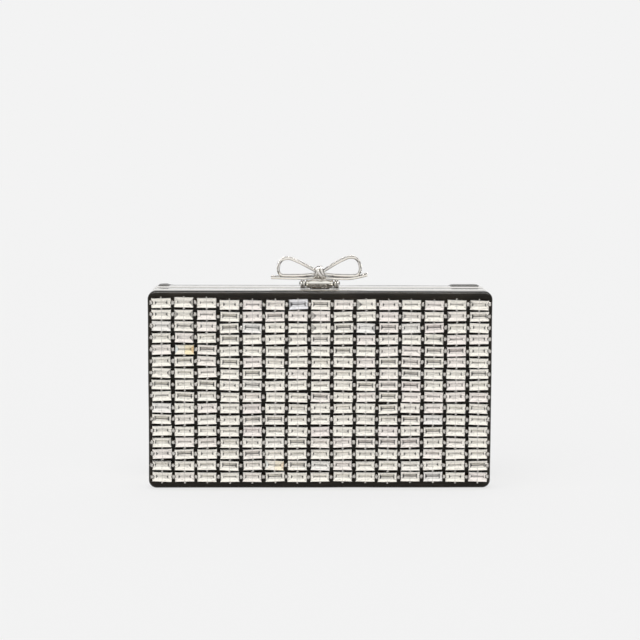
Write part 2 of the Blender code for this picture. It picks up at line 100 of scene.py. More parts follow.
class ClutchColours(bpy.types.PropertyGroup):
    """Colours of the finishes."""
    satin: colour("Satin", "Satin over the two panels", "18140D")
    satin_glow: colour("Satin glow", "Satin where its floats catch the light", "2A241B")
    lining: colour("Lining", "Satin of the two lining trays", "191718")
    lining_glow: colour("Lining glow", "Lining where its floats catch the light", "2A2728")
    thread: colour("Thread", "Sewing thread of the linings", "3A3638")
    nickel: colour("Nickel", "Nickel plate of frames, bracket and barrel", "F0EDE7")
    nickel_dull: colour("Dull nickel", "Nickel plate where it is less bright", "E6E3DC")
    rhodium: colour("Rhodium", "White metal of the bow and the settings", "F8F5F0")
    rhodium_dull: colour("Dull rhodium", "White metal where it is less bright", "EAE6DF")
    # Painted shade, with some oxide: this dark colour is laid where shade falls on the metal parts, and in the corners
    # of the castings
    tarnish: colour("Tarnish", "Oxide left in the corners of the castings", "2C1F0E")
    steel: colour("Steel", "Bright steel of hinge, pin and strike plate", "BDBDBC")
    steel_dull: colour("Dull steel", "Steel between the drawing lines", "A1A1A0")
    crystal: colour("Crystal", "Cut crystal", "FFFDF9")
    foil: colour("Foil", "Silvered backs of the stones", "FFFCF5")
    foil_rose: colour("Rose foil", "Silvered backs that look pinkish", "FBF4F2")
    foil_blue: colour("Blue foil", "Silvered backs that look bluish", "F1F2F8")
    fire_yellow: colour("Yellow flash", "Right half of a stone that shows the spectrum", "FFF0C6")
    fire_orange: colour("Orange flash", "Right tick and foot of a stone that shows the spectrum", "F0A650")
    fire_blue: colour("Blue flash", "Left end of a stone that shows the spectrum", "F2F9FA")
    floor: colour("Floor", "Floor and background", "F3F3F3")


class ClutchCovers(bpy.types.PropertyGroup):
    """Sizes of the covered panels and the linings."""
    wall: length("Wall", "Thickness of the board with its satin", 0.0010)
    corner: length("Corner", "Radius of a panel's corners", 0.0042)
    rim: length("Rim", "Radius of a panel's rounded edge", 0.0022)
    tuck: length("Tuck", "How far the covering slopes in towards the frame", 0.00005)
    hollow: length("Hollow", "How far the back panel's top edge dips between its corners", 0.0009)
    hollow_left: length("Left end of the dip", "How far left of the middle the dip ends", 0.0795)
    hollow_right: length("Right end of the dip", "How far right of the middle the dip ends", 0.0705)
    peak_end: length("End of the peaks", "How far from the middle the two raised ends stop", 0.0870)
    wave: length("Wave", "Unevenness of the covered edge", 0.00022)
    swell: length("Swell", "How far the front covering rises over its board along the top", 0.00018)
    lining_wall: length("Lining wall", "Thickness of a lining", 0.0010)
    lining_corner: length("Lining corner", "Radius of a lining's corners", 0.0022)
    lining_rim: length("Lining rim", "Radius round a lining's floor", 0.0014)
    stitch: length("Stitch", "Length of one stitch round a lining", 0.0022)
    stitch_pitch: length("Stitch pitch", "From one stitch to the next", 0.0031)


class ClutchStones(bpy.types.PropertyGroup):
    """Sizes of the stones on the front panel."""
    rows: count("Rows", "Stones in one column", 16)
    row_gap: length("Row gap", "Gap between two stones of a column", 0.0008)
    tilt: angle("Tilt", "Most that a stone leans out of the panel's plane", 2.6)
    turn: angle("Turn", "Most that a stone turns in the panel's plane", 2.8)
    shift: length("Shift", "Most that a stone is off its place", 0.00016)
    raised_columns: count("Raised columns", "Columns at the left end that are raised towards the top", 3)
    rise: length("Rise", "How much higher the top stones of those columns sit", 0.0010)
    back_depth: length("Back depth", "Depth of the faceted back", 0.00066)
    girdle: length("Girdle", "Thickness at the stone's edge", 0.00030)
    crown: length("Crown", "Height of the faceted front", 0.00014)
    behind: length("Behind", "How far the tables stay behind the front of the modelled stones", 0.00030)
    crown_inset: length("Crown inset", "How far the flat table is from the stone's edge", 0.00034)
    end_bead: length("End bead", "Radius of the bead between two columns", 0.00120)
    outer_bead_in: length("Outer beads inward", "How much nearer to their stones the outermost beads are", 0.00070)
    row_bead: length("Row bead", "Radius of the bead between two rows", 0.00060)
    seed: count("Seed", "Seed of the small differences between stones", 7)
    fire_first: count("First fire stone", "Stone that shows a spectral flash", 27)
    fire_second: count("Second fire stone", "Stone that shows a weaker spectral flash", 81)
    blue_stone: count("Blue stone", "Stone that looks bluish", 111)


class ClutchClasp(bpy.types.PropertyGroup):
    """Sizes of the barrel, its hook and the bracket."""
    barrel: length("Barrel", "Radius of the barrel", 0.00172)
    bore: length("Bore", "Radius of the hole for the pin", 0.00082)
    hook_root: length("Hook root", "Width of the hook beside the barrel", 0.0142)
    hook_tip: length("Hook tip", "Width of the hook at its tip", 0.0098)
    hook: length("Hook", "Thickness of the hook's plate", 0.00050)
    ear: length("Ear", "Thickness of one ear", 0.0025)
    ear_groove: length("Ear groove", "Depth of the dark groove round an ear", 0.00040)
    dot: length("Dot", "Radius of the set screw in the barrel", 0.00042)
    dot_place: length("Dot place", "Set screw's distance from the middle", 0.0019)


class ClutchBow(bpy.types.PropertyGroup):
    """Sizes of the bow on the clasp."""
    width: length("Ribbon width", "Width of the metal ribbon", 0.0045)
    thickness: length("Ribbon thickness", "Thickness of the metal ribbon", 0.0013)
    narrow: share("Narrow", "Share of the ribbon's width that enters the knot", 0.66)
    rail: length("Rail", "Width of the polished edges beside the stones", 0.00045)
    channel: length("Channel", "Depth of the channel that the stones sit in", 0.00035)
    stone: length("Stone", "Diameter of a small stone", 0.00112)
    bead: length("Bead", "Radius of the beads along the edges", 0.00036)
    bead_pitch: length("Bead pitch", "From one bead to the next", 0.00108)
    left_reach: length("Left reach", "Reach of the left loop", 0.0217)
    right_reach: length("Right reach", "Reach of the right loop", 0.0213)
    tail_left: length("Left tail", "Reach of the left tail", 0.0258)
    tail_right: length("Right tail", "Reach of the right tail", 0.0253)
    flare: length("Flare", "Rise of the right tail's end", 0.0017)
    strand: length("Knot strand", "Width of a strand round the knot", 0.0019)
    strand_thickness: length("Strand thickness", "Thickness of a strand round the knot", 0.0010)
    knot_depth: length("Knot depth", "Depth of the knot", 0.0062)
    knot_low: length("Knot foot", "Foot of the knot above the barrel's axis", 0.0010)
    knot_high: length("Knot top", "Top of the knot above the barrel's axis", 0.0091)
    seed: count("Seed", "Seed of the small stones", 3)


class ClutchStage(bpy.types.PropertyGroup):
    """Camera, floor and light."""
    distance: length("Distance", "Camera to the point it looks at", 1.022)
    elevation: angle("Elevation", "Camera above the horizon", 7.0)
    azimuth: angle("Azimuth", "Camera to the side", -1.317)
    roll: angle("Roll", "Camera's roll", 0.23)
    aim_x: length("Aim X", "Point looked at", 0.00022)
    aim_z: length("Aim Z", "Point looked at", 0.0868)
    lens: bpy.props.FloatProperty(name="Lens", description="Focal length", default=108.1, unit="CAMERA")
    floor_radius: length("Floor radius", "Radius of the floor", 20)
    shadow: share("Shadow", "How much of the floor's own shading shows", 0.22)


def settings(name):
    return getattr(bpy.context.scene, "clutch_" + name)


def paint(name):
    return tuple(getattr(settings("colours"), name))


def held(value, most=1):
    """A value kept between 0 and the most it may be."""
    return min(max(value, 0), most)


# Materials


def add(tree, kind, *inputs, **options):
    """A node with its options, of the first family that has its kind.

    The inputs follow the order of those in use, and a dictionary at the end gives others by name. Each takes a
    value, a socket, or a node, which stands for its first output in use.
    """
    *inputs, named = inputs if inputs and isinstance(inputs[-1], dict) else (*inputs, {})
    families = ("GeometryNode", "FunctionNode", "ShaderNode") if tree.type == "GEOMETRY" else ("ShaderNode",)
    node = tree.nodes.new(next(family + kind for family in families if hasattr(bpy.types, family + kind)))
    for key, value in options.items():
        setattr(node, key, value)
    used = [socket for socket in node.inputs if socket.enabled]
    for socket, value in (*zip(used, inputs), *((node.inputs[key], named[key]) for key in named)):
        if isinstance(value, bpy.types.Node):
            value = next(output for output in value.outputs if output.enabled)
        if isinstance(value, bpy.types.NodeSocket):
            tree.links.new(value, socket)
        else:
            socket.default_value = value
    return node


def new_material(name):
    material = bpy.data.materials.new(name)
    material.use_nodes = True
    material.node_tree.nodes.clear()
    return material, material.node_tree


# The pitch of a wave texture's bands at scale 1
wave_pitch = math.pi / 10


def woven_satin(tree, tint, glow, roughness):
    """Polyester satin, woven: close black floats with a soft gloss along the threads and hardly any at the rim.

    Real threads are about 0.1 mm apart and are drawn 0.35 mm apart, so that they show.
    """
    place = add(tree, "TexCoord").outputs["Object"]
    thread = place, wave_pitch / 0.00035, 0.6, 1.0, 0.6
    warp, weft = (add(tree, "TexWave", *thread, bands_direction=way).outputs["Fac"] for way in "XZ")
    slub = add(tree, "TexNoise", add(tree, "Mapping", place, {"Scale": (0.07, 1, 1)}), 1 / 0.0007, 3.0)
    cloud = add(tree, "TexNoise", place, 1 / 0.014, 3.0)
    tone = add(tree, "Math", slub, cloud, operation="MULTIPLY")
    tone = add(tree, "MapRange", tone, 0.15, 0.4)
    weave = add(tree, "Math", weft, 0.5, warp, operation="MULTIPLY_ADD")
    height = add(tree, "Math", slub, 2.0, weave, operation="MULTIPLY_ADD")
    add(tree, "OutputMaterial", add(tree, "BsdfPrincipled", {
        "Base Color": add(tree, "Mix", tone, tint, glow, data_type="RGBA"),
        "Roughness": add(tree, "MapRange", slub, 0.3, 0.7, roughness - 0.08, roughness + 0.08),
        "Normal": add(tree, "Bump", {"Height": height, "Distance": 0.00004, "Strength": 0.3}),
        "Specular IOR Level": 0.18, "Sheen Weight": 0.03, "Sheen Roughness": 0.4, "Sheen Tint": (0.6, 0.6, 0.62, 1),
    }))


def worked_metal(tree, tint, dull, low, high, feature, stretch, depth):
    """Solid or plated metal: the grain left by casting, drawing or buffing changes its gloss from place to place.
    Where the piece's shade attribute is above 0 it turns dark and dull: mostly painted shade under, between and round
    the parts, and some oxide in the corners of the castings."""
    place = add(tree, "TexCoord").outputs["Object"]
    marks = add(tree, "TexNoise", add(tree, "Mapping", place, {"Scale": stretch}), 1 / feature, 4.0)
    haze = add(tree, "TexNoise", place, 1 / 0.006, 3.0)
    mixed = add(tree, "Math", marks, haze, operation="MULTIPLY")
    tone = add(tree, "MapRange", mixed, 0.12, 0.4)
    gloss = add(tree, "MapRange", mixed, 0.12, 0.4, high, low)
    bright = add(tree, "Mix", tone, dull, tint, data_type="RGBA")
    # Painted shade and oxide: the piece's attribute, broken up by the marks, darkens the metal and dulls its gloss
    corner = add(tree, "Attribute", attribute_name="tarnish").outputs["Fac"]
    patchy = add(tree, "MapRange", marks, 0.38, 0.62, 0.4, 1.8)
    corner = add(tree, "Math", corner, patchy, operation="MULTIPLY", use_clamp=True)
    add(tree, "OutputMaterial", add(tree, "BsdfPrincipled", {
        "Base Color": add(tree, "Mix", corner, bright, paint("tarnish"), data_type="RGBA"),
        "Roughness": add(tree, "Math", corner, 0.3, gloss, operation="MULTIPLY_ADD"),
        "Normal": add(tree, "Bump", {"Height": marks, "Distance": depth, "Strength": 0.4}),
        "Metallic": 1.0,
    }))


def cut_crystal(tree, tint):
    """Lead crystal, cut and polished: clear, with sharp facets that bend what lies behind them."""
    clear = {"Base Color": tint, "Roughness": 0.0, "Transmission Weight": 1.0, "IOR": 1.55}
    add(tree, "OutputMaterial", add(tree, "BsdfPrincipled", clear))


def silver_foil(tree):
    """Silvered and lacquered backs of the stones: a warm mirror with painted light and shade, greyer along the keel
    and at the ends as shade where light leaves the stone, with faint streaks, a tint that differs a little from stone
    to stone and a rare painted spectral flash."""
    tint, shade, flash, part = (
        add(tree, "Attribute", attribute_name=name).outputs["Fac"]
        for name in ("stone_tint", "foil_shade", "stone_fire", "flash_part")
    )
    colours = []
    for value, stops in (
        (tint, ((0.0, "foil_rose"), (0.40, "foil"), (0.88, "foil"), (1.0, "foil_blue"))),
        (part, ((0.0, "foil"), (0.33, "fire_yellow"), (0.66, "fire_orange"), (1.0, "fire_blue"))),
    ):
        ramp = add(tree, "ValToRGB", value)
        elements = ramp.color_ramp.elements
        while len(elements) < len(stops):
            elements.new(1.0)
        for element, (place, name) in zip(elements, stops):
            element.position = place
            element.color = paint(name)
        colours.append(ramp)
    burning = add(tree, "Mix", flash, *colours, data_type="RGBA")
    along = add(tree, "Mapping", add(tree, "TexCoord").outputs["Object"], {"Scale": (0.28, 1, 1)})
    streak = add(tree, "TexNoise", along, 1 / 0.0009, 2.0)
    streak = add(tree, "MapRange", streak, 0.36, 0.56, 0.82, 1.12)
    shade = add(tree, "Math", shade, streak, operation="MULTIPLY", use_clamp=True)
    shaded = add(tree, "Mix", 1.0, burning, shade, data_type="RGBA", blend_type="MULTIPLY")
    mirror = {"Base Color": shaded, "Roughness": 0.05, "Metallic": 1.0}
    add(tree, "OutputMaterial", add(tree, "BsdfPrincipled", mirror))


def sewing_thread(tree, tint):
    """Spun polyester thread: dull, with a twist that shows as fine slanted ridges, the grooves between them painted
    darker as shade.
    """
    place = add(tree, "TexCoord").outputs["Object"]
    ridges = add(tree, "TexWave", place, wave_pitch / 0.0003, 0.3, bands_direction="DIAGONAL").outputs["Fac"]
    dark = (*(channel * 0.6 for channel in tint[:3]), 1)
    add(tree, "OutputMaterial", add(tree, "BsdfPrincipled", {
        "Base Color": add(tree, "Mix", ridges, dark, tint, data_type="RGBA"),
        "Normal": add(tree, "Bump", {"Height": ridges, "Distance": 0.00005, "Strength": 0.5}),
        "Roughness": 0.8,
    }))


# How each finish is made, with its colours. A metal's numbers are its least and greatest roughness, the size of
# its marks, how they are drawn out, and their depth, and a satin's number is its roughness
finishes = {
    "nickel plate, brushed": (worked_metal, "nickel", "nickel_dull", 0.04, 0.09, 0.00025, (0.03, 1, 1), 0.000003),
    "nickel plate, polished": (worked_metal, "nickel", "nickel_dull", 0.05, 0.12, 0.0008, (1, 1, 1), 0.000005),
    "rhodium plate, cast settings": (worked_metal, "rhodium", "rhodium_dull", 0.10, 0.24, 0.0005, (1, 1, 1), 0.00002),
    "rhodium plate, bow": (worked_metal, "rhodium", "rhodium_dull", 0.05, 0.16, 0.0007, (1, 1, 1), 0.000008),
    "steel, bright drawn": (worked_metal, "steel", "steel_dull", 0.22, 0.38, 0.00015, (0.03, 1, 1), 0.00001),
    "satin, black, woven": (woven_satin, "satin", "satin_glow", 0.25),
    "lining satin, black": (woven_satin, "lining", "lining_glow", 0.5),
    "crystal, cut and polished": (cut_crystal, "crystal"),
    "silvered stone back": (silver_foil,),
    "polyester thread": (sewing_thread, "thread"),
}


def finish(name):
    """A finish of the bag, made when it is first asked for."""
    material = bpy.data.materials.get(name)
    if not material:
        material, tree = new_material(name)
        make, *values = finishes[name]
        make(tree, *[paint(value) if isinstance(value, str) else value for value in values])
    return material


# Pieces


def new_piece(name, mesh):
    piece = bpy.data.objects.new(name, mesh)
    bpy.context.scene.collection.objects.link(piece)
    return piece


def piece_of(name, bm):
    """The object of a finished bmesh."""
    mesh = bpy.data.meshes.new(name)
    bm.to_mesh(mesh)
    bm.free()
    return new_piece(name, mesh)


def discard(*objects):
    for item in objects:
        bpy.data.objects.remove(item, do_unlink=True)


def flatten(piece, matrix=None):
    """Turns a piece with its modifiers into a plain mesh, with its place in the mesh."""
    bpy.context.view_layer.update()
    graph = bpy.context.evaluated_depsgraph_get()
    mesh = bpy.data.meshes.new_from_object(piece.evaluated_get(graph))
    mesh.transform((matrix or Matrix.Identity(4)) @ piece.matrix_world)
    name = piece.name
    discard(piece)
    return new_piece(name, mesh)


def settle(piece, body, slot, material, *nodes):
    """Gives a finished piece its material and its body, and hides the CAD nodes it stands for. The slot is not used.
    """
    if material:
        piece.data.materials.clear()
        piece.data.materials.append(finish(material))
    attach(piece, body)
    if nodes:
        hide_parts(*nodes)


def joined(name, parts):
    with bpy.context.temp_override(active_object=parts[0], selected_editable_objects=parts):
        bpy.ops.object.join()
    parts[0].name = name
    return parts[0]


def smooth(piece, limit=40):
    """Smooth shading, with sharp edges where the surface turns by more than limit degrees."""
    piece.data.shade_smooth()
    piece.data.set_sharp_from_angle(angle=math.radians(limit))
    return piece


def darken(piece, domain, dark):
    """How much painted shade, and in corners oxide, darkens a piece, from 0 to 1 for each point or face."""
    piece.data.attributes.new("tarnish", "FLOAT", domain).data.foreach_set("value", dark)


def soften(piece, width, steps):
    """Rounds the edges of a piece."""
    edge = piece.modifiers.new("edge", "BEVEL")
    edge.width = width
    edge.segments = steps
    edge.limit_method = "ANGLE"
    edge.angle_limit = math.radians(40)
    return smooth(flatten(piece))


def refined(node, name, edge=0.0):
    """A welded copy of a CAD node with smooth curves and, if asked for, softened edges."""
    weld = 0.000002
    bm = bmesh.new()
    bm.from_mesh(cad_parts[node].data)
    bmesh.ops.remove_doubles(bm, verts=bm.verts, dist=weld)
    if edge:
        bmesh.ops.dissolve_limit(bm, angle_limit=math.radians(1), verts=bm.verts, edges=bm.edges)
    piece = piece_of(name, bm)
    return soften(piece, edge, 2) if edge else smooth(piece)


def block(name, low, high, edge, steps):
    """A box with softened edges."""
    bm = bmesh.new()
    matrix = Matrix.Translation((low + high) / 2) @ Matrix.Diagonal((*(high - low), 1))
    bmesh.ops.create_cube(bm, size=1, matrix=matrix)
    return soften(piece_of(name, bm), edge, steps)


def outline(low, high, corner, spacing=0.002, steps=8):
    """Points and outward directions round an upright rectangle with rounded corners."""
    centres = [
        (high.x - corner, high.z - corner), (low.x + corner, high.z - corner),
        (low.x + corner, low.z + corner), (high.x - corner, low.z + corner),
    ]
    points = []
    for index, (x, z) in enumerate(centres):
        for step in range(steps + 1):
            turn = math.pi / 2 * (index + step / steps)
            way = Vector((math.cos(turn), 0, math.sin(turn)))
            points.append((Vector((x, 0, z)) + way * corner, way))
        after = centres[(index + 1) % 4]
        start, end = points[-1][0], Vector((after[0], 0, after[1])) + way * corner
        pieces = max(1, round((end - start).length / spacing))
        points += [(start.lerp(end, step / pieces), way) for step in range(1, pieces)]
    return points


def circle(places, first=0.0):
    """Cosine and sine of evenly spaced turns."""
    turns = [2 * math.pi * (step + first) / places for step in range(places)]
    return [(math.cos(turn), math.sin(turn)) for turn in turns]


def both_sides(half):
    """One side of a section followed by its mirror image."""
    return half + [(-across, up) for across, up in reversed(half)]


def skin(bm, loops, closed=False):
    """The faces between loops of points, level by level, and those of the two ends, which a closed one hasn't."""
    rings = [[bm.verts.new(point) for point in loop] for loop in loops]
    sides = []
    for near, far in zip(rings, rings[1:] + (rings[:1] if closed else [])):
        for place in range(len(near)):
            after = (place + 1) % len(near)
            sides.append(bm.faces.new((near[place], near[after], far[after], far[place])))
    ends = [] if closed else [bm.faces.new(rings[0]), bm.faces.new(rings[-1])]
    bmesh.ops.recalc_face_normals(bm, faces=sides + ends)
    return sides, ends


def lofted(name, loops, limit=40, closed=False):
    bm = bmesh.new()
    skin(bm, loops, closed)
    return smooth(piece_of(name, bm), limit)


def shell(name, low, high, side, wall, corner, rim, tuck=0.0, inset_of=None):
    """A tray with rounded corners and a rounded rim round its floor, which faces side, -1 or 1, in Y.

    Its profile runs from the inside of the floor over the mouth to the outside of the floor.
    """
    depth = high.y - low.y
    lip = wall * 0.3
    profile = [(wall + lip, depth - wall), (wall, depth - wall - lip)]
    profile += [(wall, 2 * lip), (wall, lip), (wall - lip, 0), (tuck + lip, 0), (tuck, lip)]
    outside = len(profile)
    profile += [(tuck * (1 - part), lip + (depth - rim - lip) * part) for part in (0.35, 0.7, 1.0)]
    for step in range(1, 11):
        turn = math.pi / 20 * step
        profile.append((rim * (1 - math.cos(turn)), depth - rim * (1 - math.sin(turn))))
    mouth = high.y if side < 0 else low.y
    points = outline(low, high, corner)
    loops = []
    for index, (inset, down) in enumerate(profile):
        y = mouth + side * down
        loop = []
        for point, way in points:
            extra = inset_of(point, way, down, depth, index >= outside) if inset_of else 0.0
            loop.append(Vector((point.x, y, point.z)) - way * (inset + extra))
        loops.append(loop)
    return lofted(name, loops, 42)


def ball(bm, place, radii, across, up):
    """The faces of a small smooth bead."""
    matrix = Matrix.Translation(place) @ Matrix.Diagonal((*radii, 1))
    made = bmesh.ops.create_uvsphere(bm, u_segments=across, v_segments=up, radius=1, matrix=matrix)
    faces = list({face for vert in made["verts"] for face in vert.link_faces})
    for face in faces:
        face.smooth = True
        face.normal_update()
    return faces


# Stones

# The cuts: the keel's share of the length, its width, how far out and how deep the step beside it lies, and the
# painted shade of the silver on the keel and on the ticks at its ends
stone_cuts = {
    "a": (0.56, 0.00028, 0.30, 0.34, 0.34, 0.16),
    "b": (0.58, 0.00052, 0.44, 0.50, 0.12, 0.18),
    "c": (0.46, 0.00024, 0.34, 0.36, 0.50, 0.10),
    "d": (0.57, 0.00036, 0.24, 0.26, 0.16, 0.14),
    "e": (0.60, 0.00064, 0.30, 0.32, 0.70, 0.12),
}


def stone_height():
    sizes = settings("stones")
    tall = first_column[1].z - first_column[0].z
    return (tall + sizes.row_gap) / sizes.rows - sizes.row_gap


def stone_pattern(letter):
    """One step cut stone with its keel at the back: x along the stone, y towards the panel.

    Each ring has eight points, four of them beside the middle. The faces of the back carry the painted light and shade
    of their silver, which stands in for what each facet reflects, and flash_part, their place in the spectrum of a
    stone that shows one.
    """
    keel_share, keel_width, step_share, step_drop, keel_shade, tick_shade = stone_cuts[letter]
    sizes = settings("stones")
    half_x, half_z = stone_length / 2, stone_height() / 2
    table = sizes.behind - stone_stand
    front = table + sizes.crown
    back = front + sizes.girdle
    keel = back + sizes.back_depth
    keel_x, keel_z = half_x * keel_share, keel_width / 2
    step_x, step_z = keel_x + (half_x - keel_x) * step_share, keel_z + (half_z - keel_z) * step_share
    inset = sizes.crown_inset
    rings = (
        (keel_x, keel_z, keel), (step_x, step_z, keel - sizes.back_depth * step_drop), (half_x, half_z, back),
        (half_x, half_z, front), (half_x - inset, half_z - inset, table),
    )
    # Painted light and shade of the back's facets: outer long facets brightest, inner ones and the ends greyer, and a
    # darker strip down the middle as the claws' reflection
    shades = ((0.69, tick_shade), (1.0, 0.92), (0.92, 0.80), (0, 0))
    flashes = (0.04, 0.10, 0.28, 0.45, 0.22, 0.10, 0.04, 1.0)
    orange, middle, middle_shade = 0.66, 0.00013, 0.72
    bm = bmesh.new()
    shade = bm.faces.layers.float.new("foil_shade")
    part = bm.faces.layers.float.new("flash_part")
    loops = []
    for x, z, y in rings:
        across = (-x, -middle, middle, x)
        loops.append([(a, y, -z) for a in across] + [(a, y, z) for a in reversed(across)])
    sides, ends = skin(bm, loops)
    ends[0][shade] = keel_shade
    for index, face in enumerate(sides):
        level, side = divmod(index, len(flashes))
        face[shade] = shades[level][1 if side in (3, 7) else 0] * (middle_shade if side in (1, 5) else 1)
        face[part] = orange if (level == 2 and side < 3) or (level == 0 and side == 3) else flashes[side]
    return piece_of("stone_pattern_" + letter, bm)


def claw(bm, x, z, radius, tip, across=8, up=5):
    """A flat bead on a post that stands on the panel, with painted shade: a little dark all over and darker round its
    side, with a bright centre.
    """
    flatness, bright_part, post = 0.45, 0.55, radius * 0.7
    dark = bm.faces.layers.float.get("tarnish") or bm.faces.layers.float.new("tarnish")
    # Painted shade: the bead darkens from its centre towards its side
    for face in ball(bm, (x, tip, z), (radius, radius * flatness, radius), across, up):
        middle = face.calc_center_median()
        away = math.hypot(middle.x - x, middle.z - z) / radius
        face[dark] = 0.32 + 0.55 * held((away - bright_part) / 0.2)
    upright = Matrix.Translation((x, tip / 2, z)) @ Matrix.Rotation(math.pi / 2, 4, "X")
    bmesh.ops.create_cone(bm, cap_ends=True, segments=6, radius1=post, radius2=post, depth=-tip, matrix=upright)


def setting_pattern():
    """The cup under one stone, painted wholly dark as the shade between the stones, and the bright beads that hold it
    from above and below.
    """
    sizes = settings("stones")
    half_x, half_z = stone_length / 2, stone_height() / 2
    rim = sizes.behind - stone_stand + sizes.crown + sizes.girdle
    bm = bmesh.new()
    dark = bm.faces.layers.float.new("tarnish")
    loops = [
        [(sx * (half_x - inset), y, sz * (half_z - inset)) for sx, sz in ((-1, -1), (1, -1), (1, 1), (-1, 1))]
        for inset, y in (
            (0.0006, -0.00002), (0.0003, rim + 0.00026), (0.0004, rim + 0.00026),
            (0.0005, rim + sizes.back_depth + 0.0001),
        )
    ]
    skin(bm, loops)
    # Painted shade: the whole cup is dark
    for face in bm.faces:
        face[dark] = 1.0
    tip, row = rim - sizes.girdle, sizes.row_bead
    claw(bm, 0.0001, -half_z - sizes.row_gap / 2, row, tip)
    claw(bm, -0.0001, half_z + row * 0.25, row * 0.7, tip)
    return piece_of("setting_pattern", bm)


def bead_pattern():
    """The bead between two columns."""
    sizes = settings("stones")
    bm = bmesh.new()
    claw(bm, 0, 0, sizes.end_bead, sizes.behind - stone_stand + sizes.crown, 12, 7)
    return piece_of("bead_pattern", bm)


# Geometry node trees


def new_tree(name, **sockets):
    """A node tree for a modifier: one geometry output, named inputs listed by kind, and two materials."""
    tree = bpy.data.node_groups.new(name, "GeometryNodeTree")
    tree.is_modifier = True
    tree.interface.new_socket(name="Geometry", in_out="OUTPUT", socket_type="NodeSocketGeometry")
    for kind, titles in {**sockets, "Material": ("Front Material", "Back Material")}.items():
        for title in titles:
            tree.interface.new_socket(name=title, in_out="INPUT", socket_type="NodeSocket" + kind)
    return tree, tree.nodes.new("NodeGroupInput").outputs


def end_tree(tree, instances, given, marks):
    """Marks each instance, makes all real and gives them their two materials: faces with a foil_shade take the
    back one."""
    for title, value in marks.items():
        instances = add(tree, "StoreNamedAttribute", {
            "Geometry": instances, "Name": title, "Value": value,
        }, data_type="FLOAT", domain="INSTANCE")
    solid = add(tree, "RealizeInstances", instances)
    shade = add(tree, "InputNamedAttribute", "foil_shade", data_type="FLOAT")
    marked = add(tree, "Math", shade, 0.05, operation="GREATER_THAN")
    faced = add(tree, "SetMaterial", {"Geometry": solid, "Material": given["Front Material"]})
    backed = {"Geometry": faced, "Material": given["Back Material"], "Selection": marked}
    tree.links.new(add(tree, "SetMaterial", backed).outputs[0], tree.nodes.new("NodeGroupOutput").inputs[0])


def grid_tree():
    """Stones in columns and rows on an upright panel, each a little off its place and angle.

    One shows the spectrum in full and one in part, and one looks bluish.
    """
    tree, given = new_tree(
        "stones in columns", Collection=("Shapes",), Vector=("Centre",),
        Int=(
            "Shape Count", "Columns", "Rows", "Raised Columns", "Seed", "First Fire Stone", "Second Fire Stone",
            "Blue Stone",
        ),
        Float=("Column Pitch", "Row Pitch", "Tilt", "Turn", "Shift", "Rise"),
    )
    second_fire = 0.55
    columns = add(tree, "Math", given["Columns"], 1.0, operation="SUBTRACT")
    rows = add(tree, "Math", given["Rows"], 1.0, operation="SUBTRACT")
    wide = add(tree, "Math", columns, given["Column Pitch"], operation="MULTIPLY")
    tall = add(tree, "Math", rows, given["Row Pitch"], operation="MULTIPLY")
    flat = add(tree, "MeshGrid", wide, tall, given["Columns"], given["Rows"])
    place = add(tree, "SeparateXYZ", add(tree, "InputPosition")).outputs
    from_left = add(tree, "Math", wide, 0.5, place["X"], operation="MULTIPLY_ADD")
    raised = add(tree, "Math", given["Raised Columns"], 0.5, operation="SUBTRACT")
    last = add(tree, "Math", raised, given["Column Pitch"], operation="MULTIPLY")
    is_raised = add(tree, "Math", from_left, last, operation="LESS_THAN")
    up_share = add(tree, "Math", place["Y"], tall, operation="DIVIDE")
    from_foot = add(tree, "Math", up_share, 0.5, operation="ADD")
    lift = add(tree, "Math", is_raised, from_foot, operation="MULTIPLY")
    lift = add(tree, "Math", lift, given["Rise"], operation="MULTIPLY")
    seed = given["Seed"]
    other_seed = add(tree, "Math", seed, 9.0, operation="ADD")
    strays = []
    for titles, own_seed in ((("Shift", "Shift"), seed), (("Tilt", "Turn", "Tilt"), other_seed)):
        most = add(tree, "CombineXYZ", *[given[title] for title in titles])
        least = add(tree, "VectorMath", most, -1.0, operation="SCALE")
        strays.append(add(tree, "RandomValue", least, most, {"Seed": own_seed}, data_type="FLOAT_VECTOR"))
    shift, turn = strays
    offset = add(tree, "VectorMath", shift, add(tree, "CombineXYZ", 0.0, lift))
    moved = add(tree, "SetPosition", {"Geometry": flat, "Offset": offset})
    upright = add(tree, "Transform", {
        "Geometry": moved, "Translation": given["Centre"], "Rotation": (math.pi / 2, 0, 0),
    })
    last_shape = add(tree, "Math", given["Shape Count"], 1.0, operation="SUBTRACT")
    instances = add(tree, "InstanceOnPoints", {
        "Points": upright, "Instance": add(tree, "CollectionInfo", given["Shapes"], True, True),
        "Pick Instance": True,
        "Instance Index": add(tree, "RandomValue", 0, last_shape, {"Seed": seed}, data_type="INT"),
        "Rotation": add(tree, "EulerToRotation", turn),
    })
    index = add(tree, "InputIndex")
    chance = add(tree, "RandomValue", 0.0, 0.94, {"Seed": other_seed}, data_type="FLOAT")
    blue, first, second = (
        add(tree, "Math", index, given[title], 0.1, operation="COMPARE")
        for title in ("Blue Stone", "First Fire Stone", "Second Fire Stone")
    )
    end_tree(tree, instances, given, {
        "stone_tint": add(tree, "Math", chance, blue, operation="MAXIMUM"),
        "stone_fire": add(tree, "Math", second, second_fire, first, operation="MULTIPLY_ADD"),
    })
    return tree


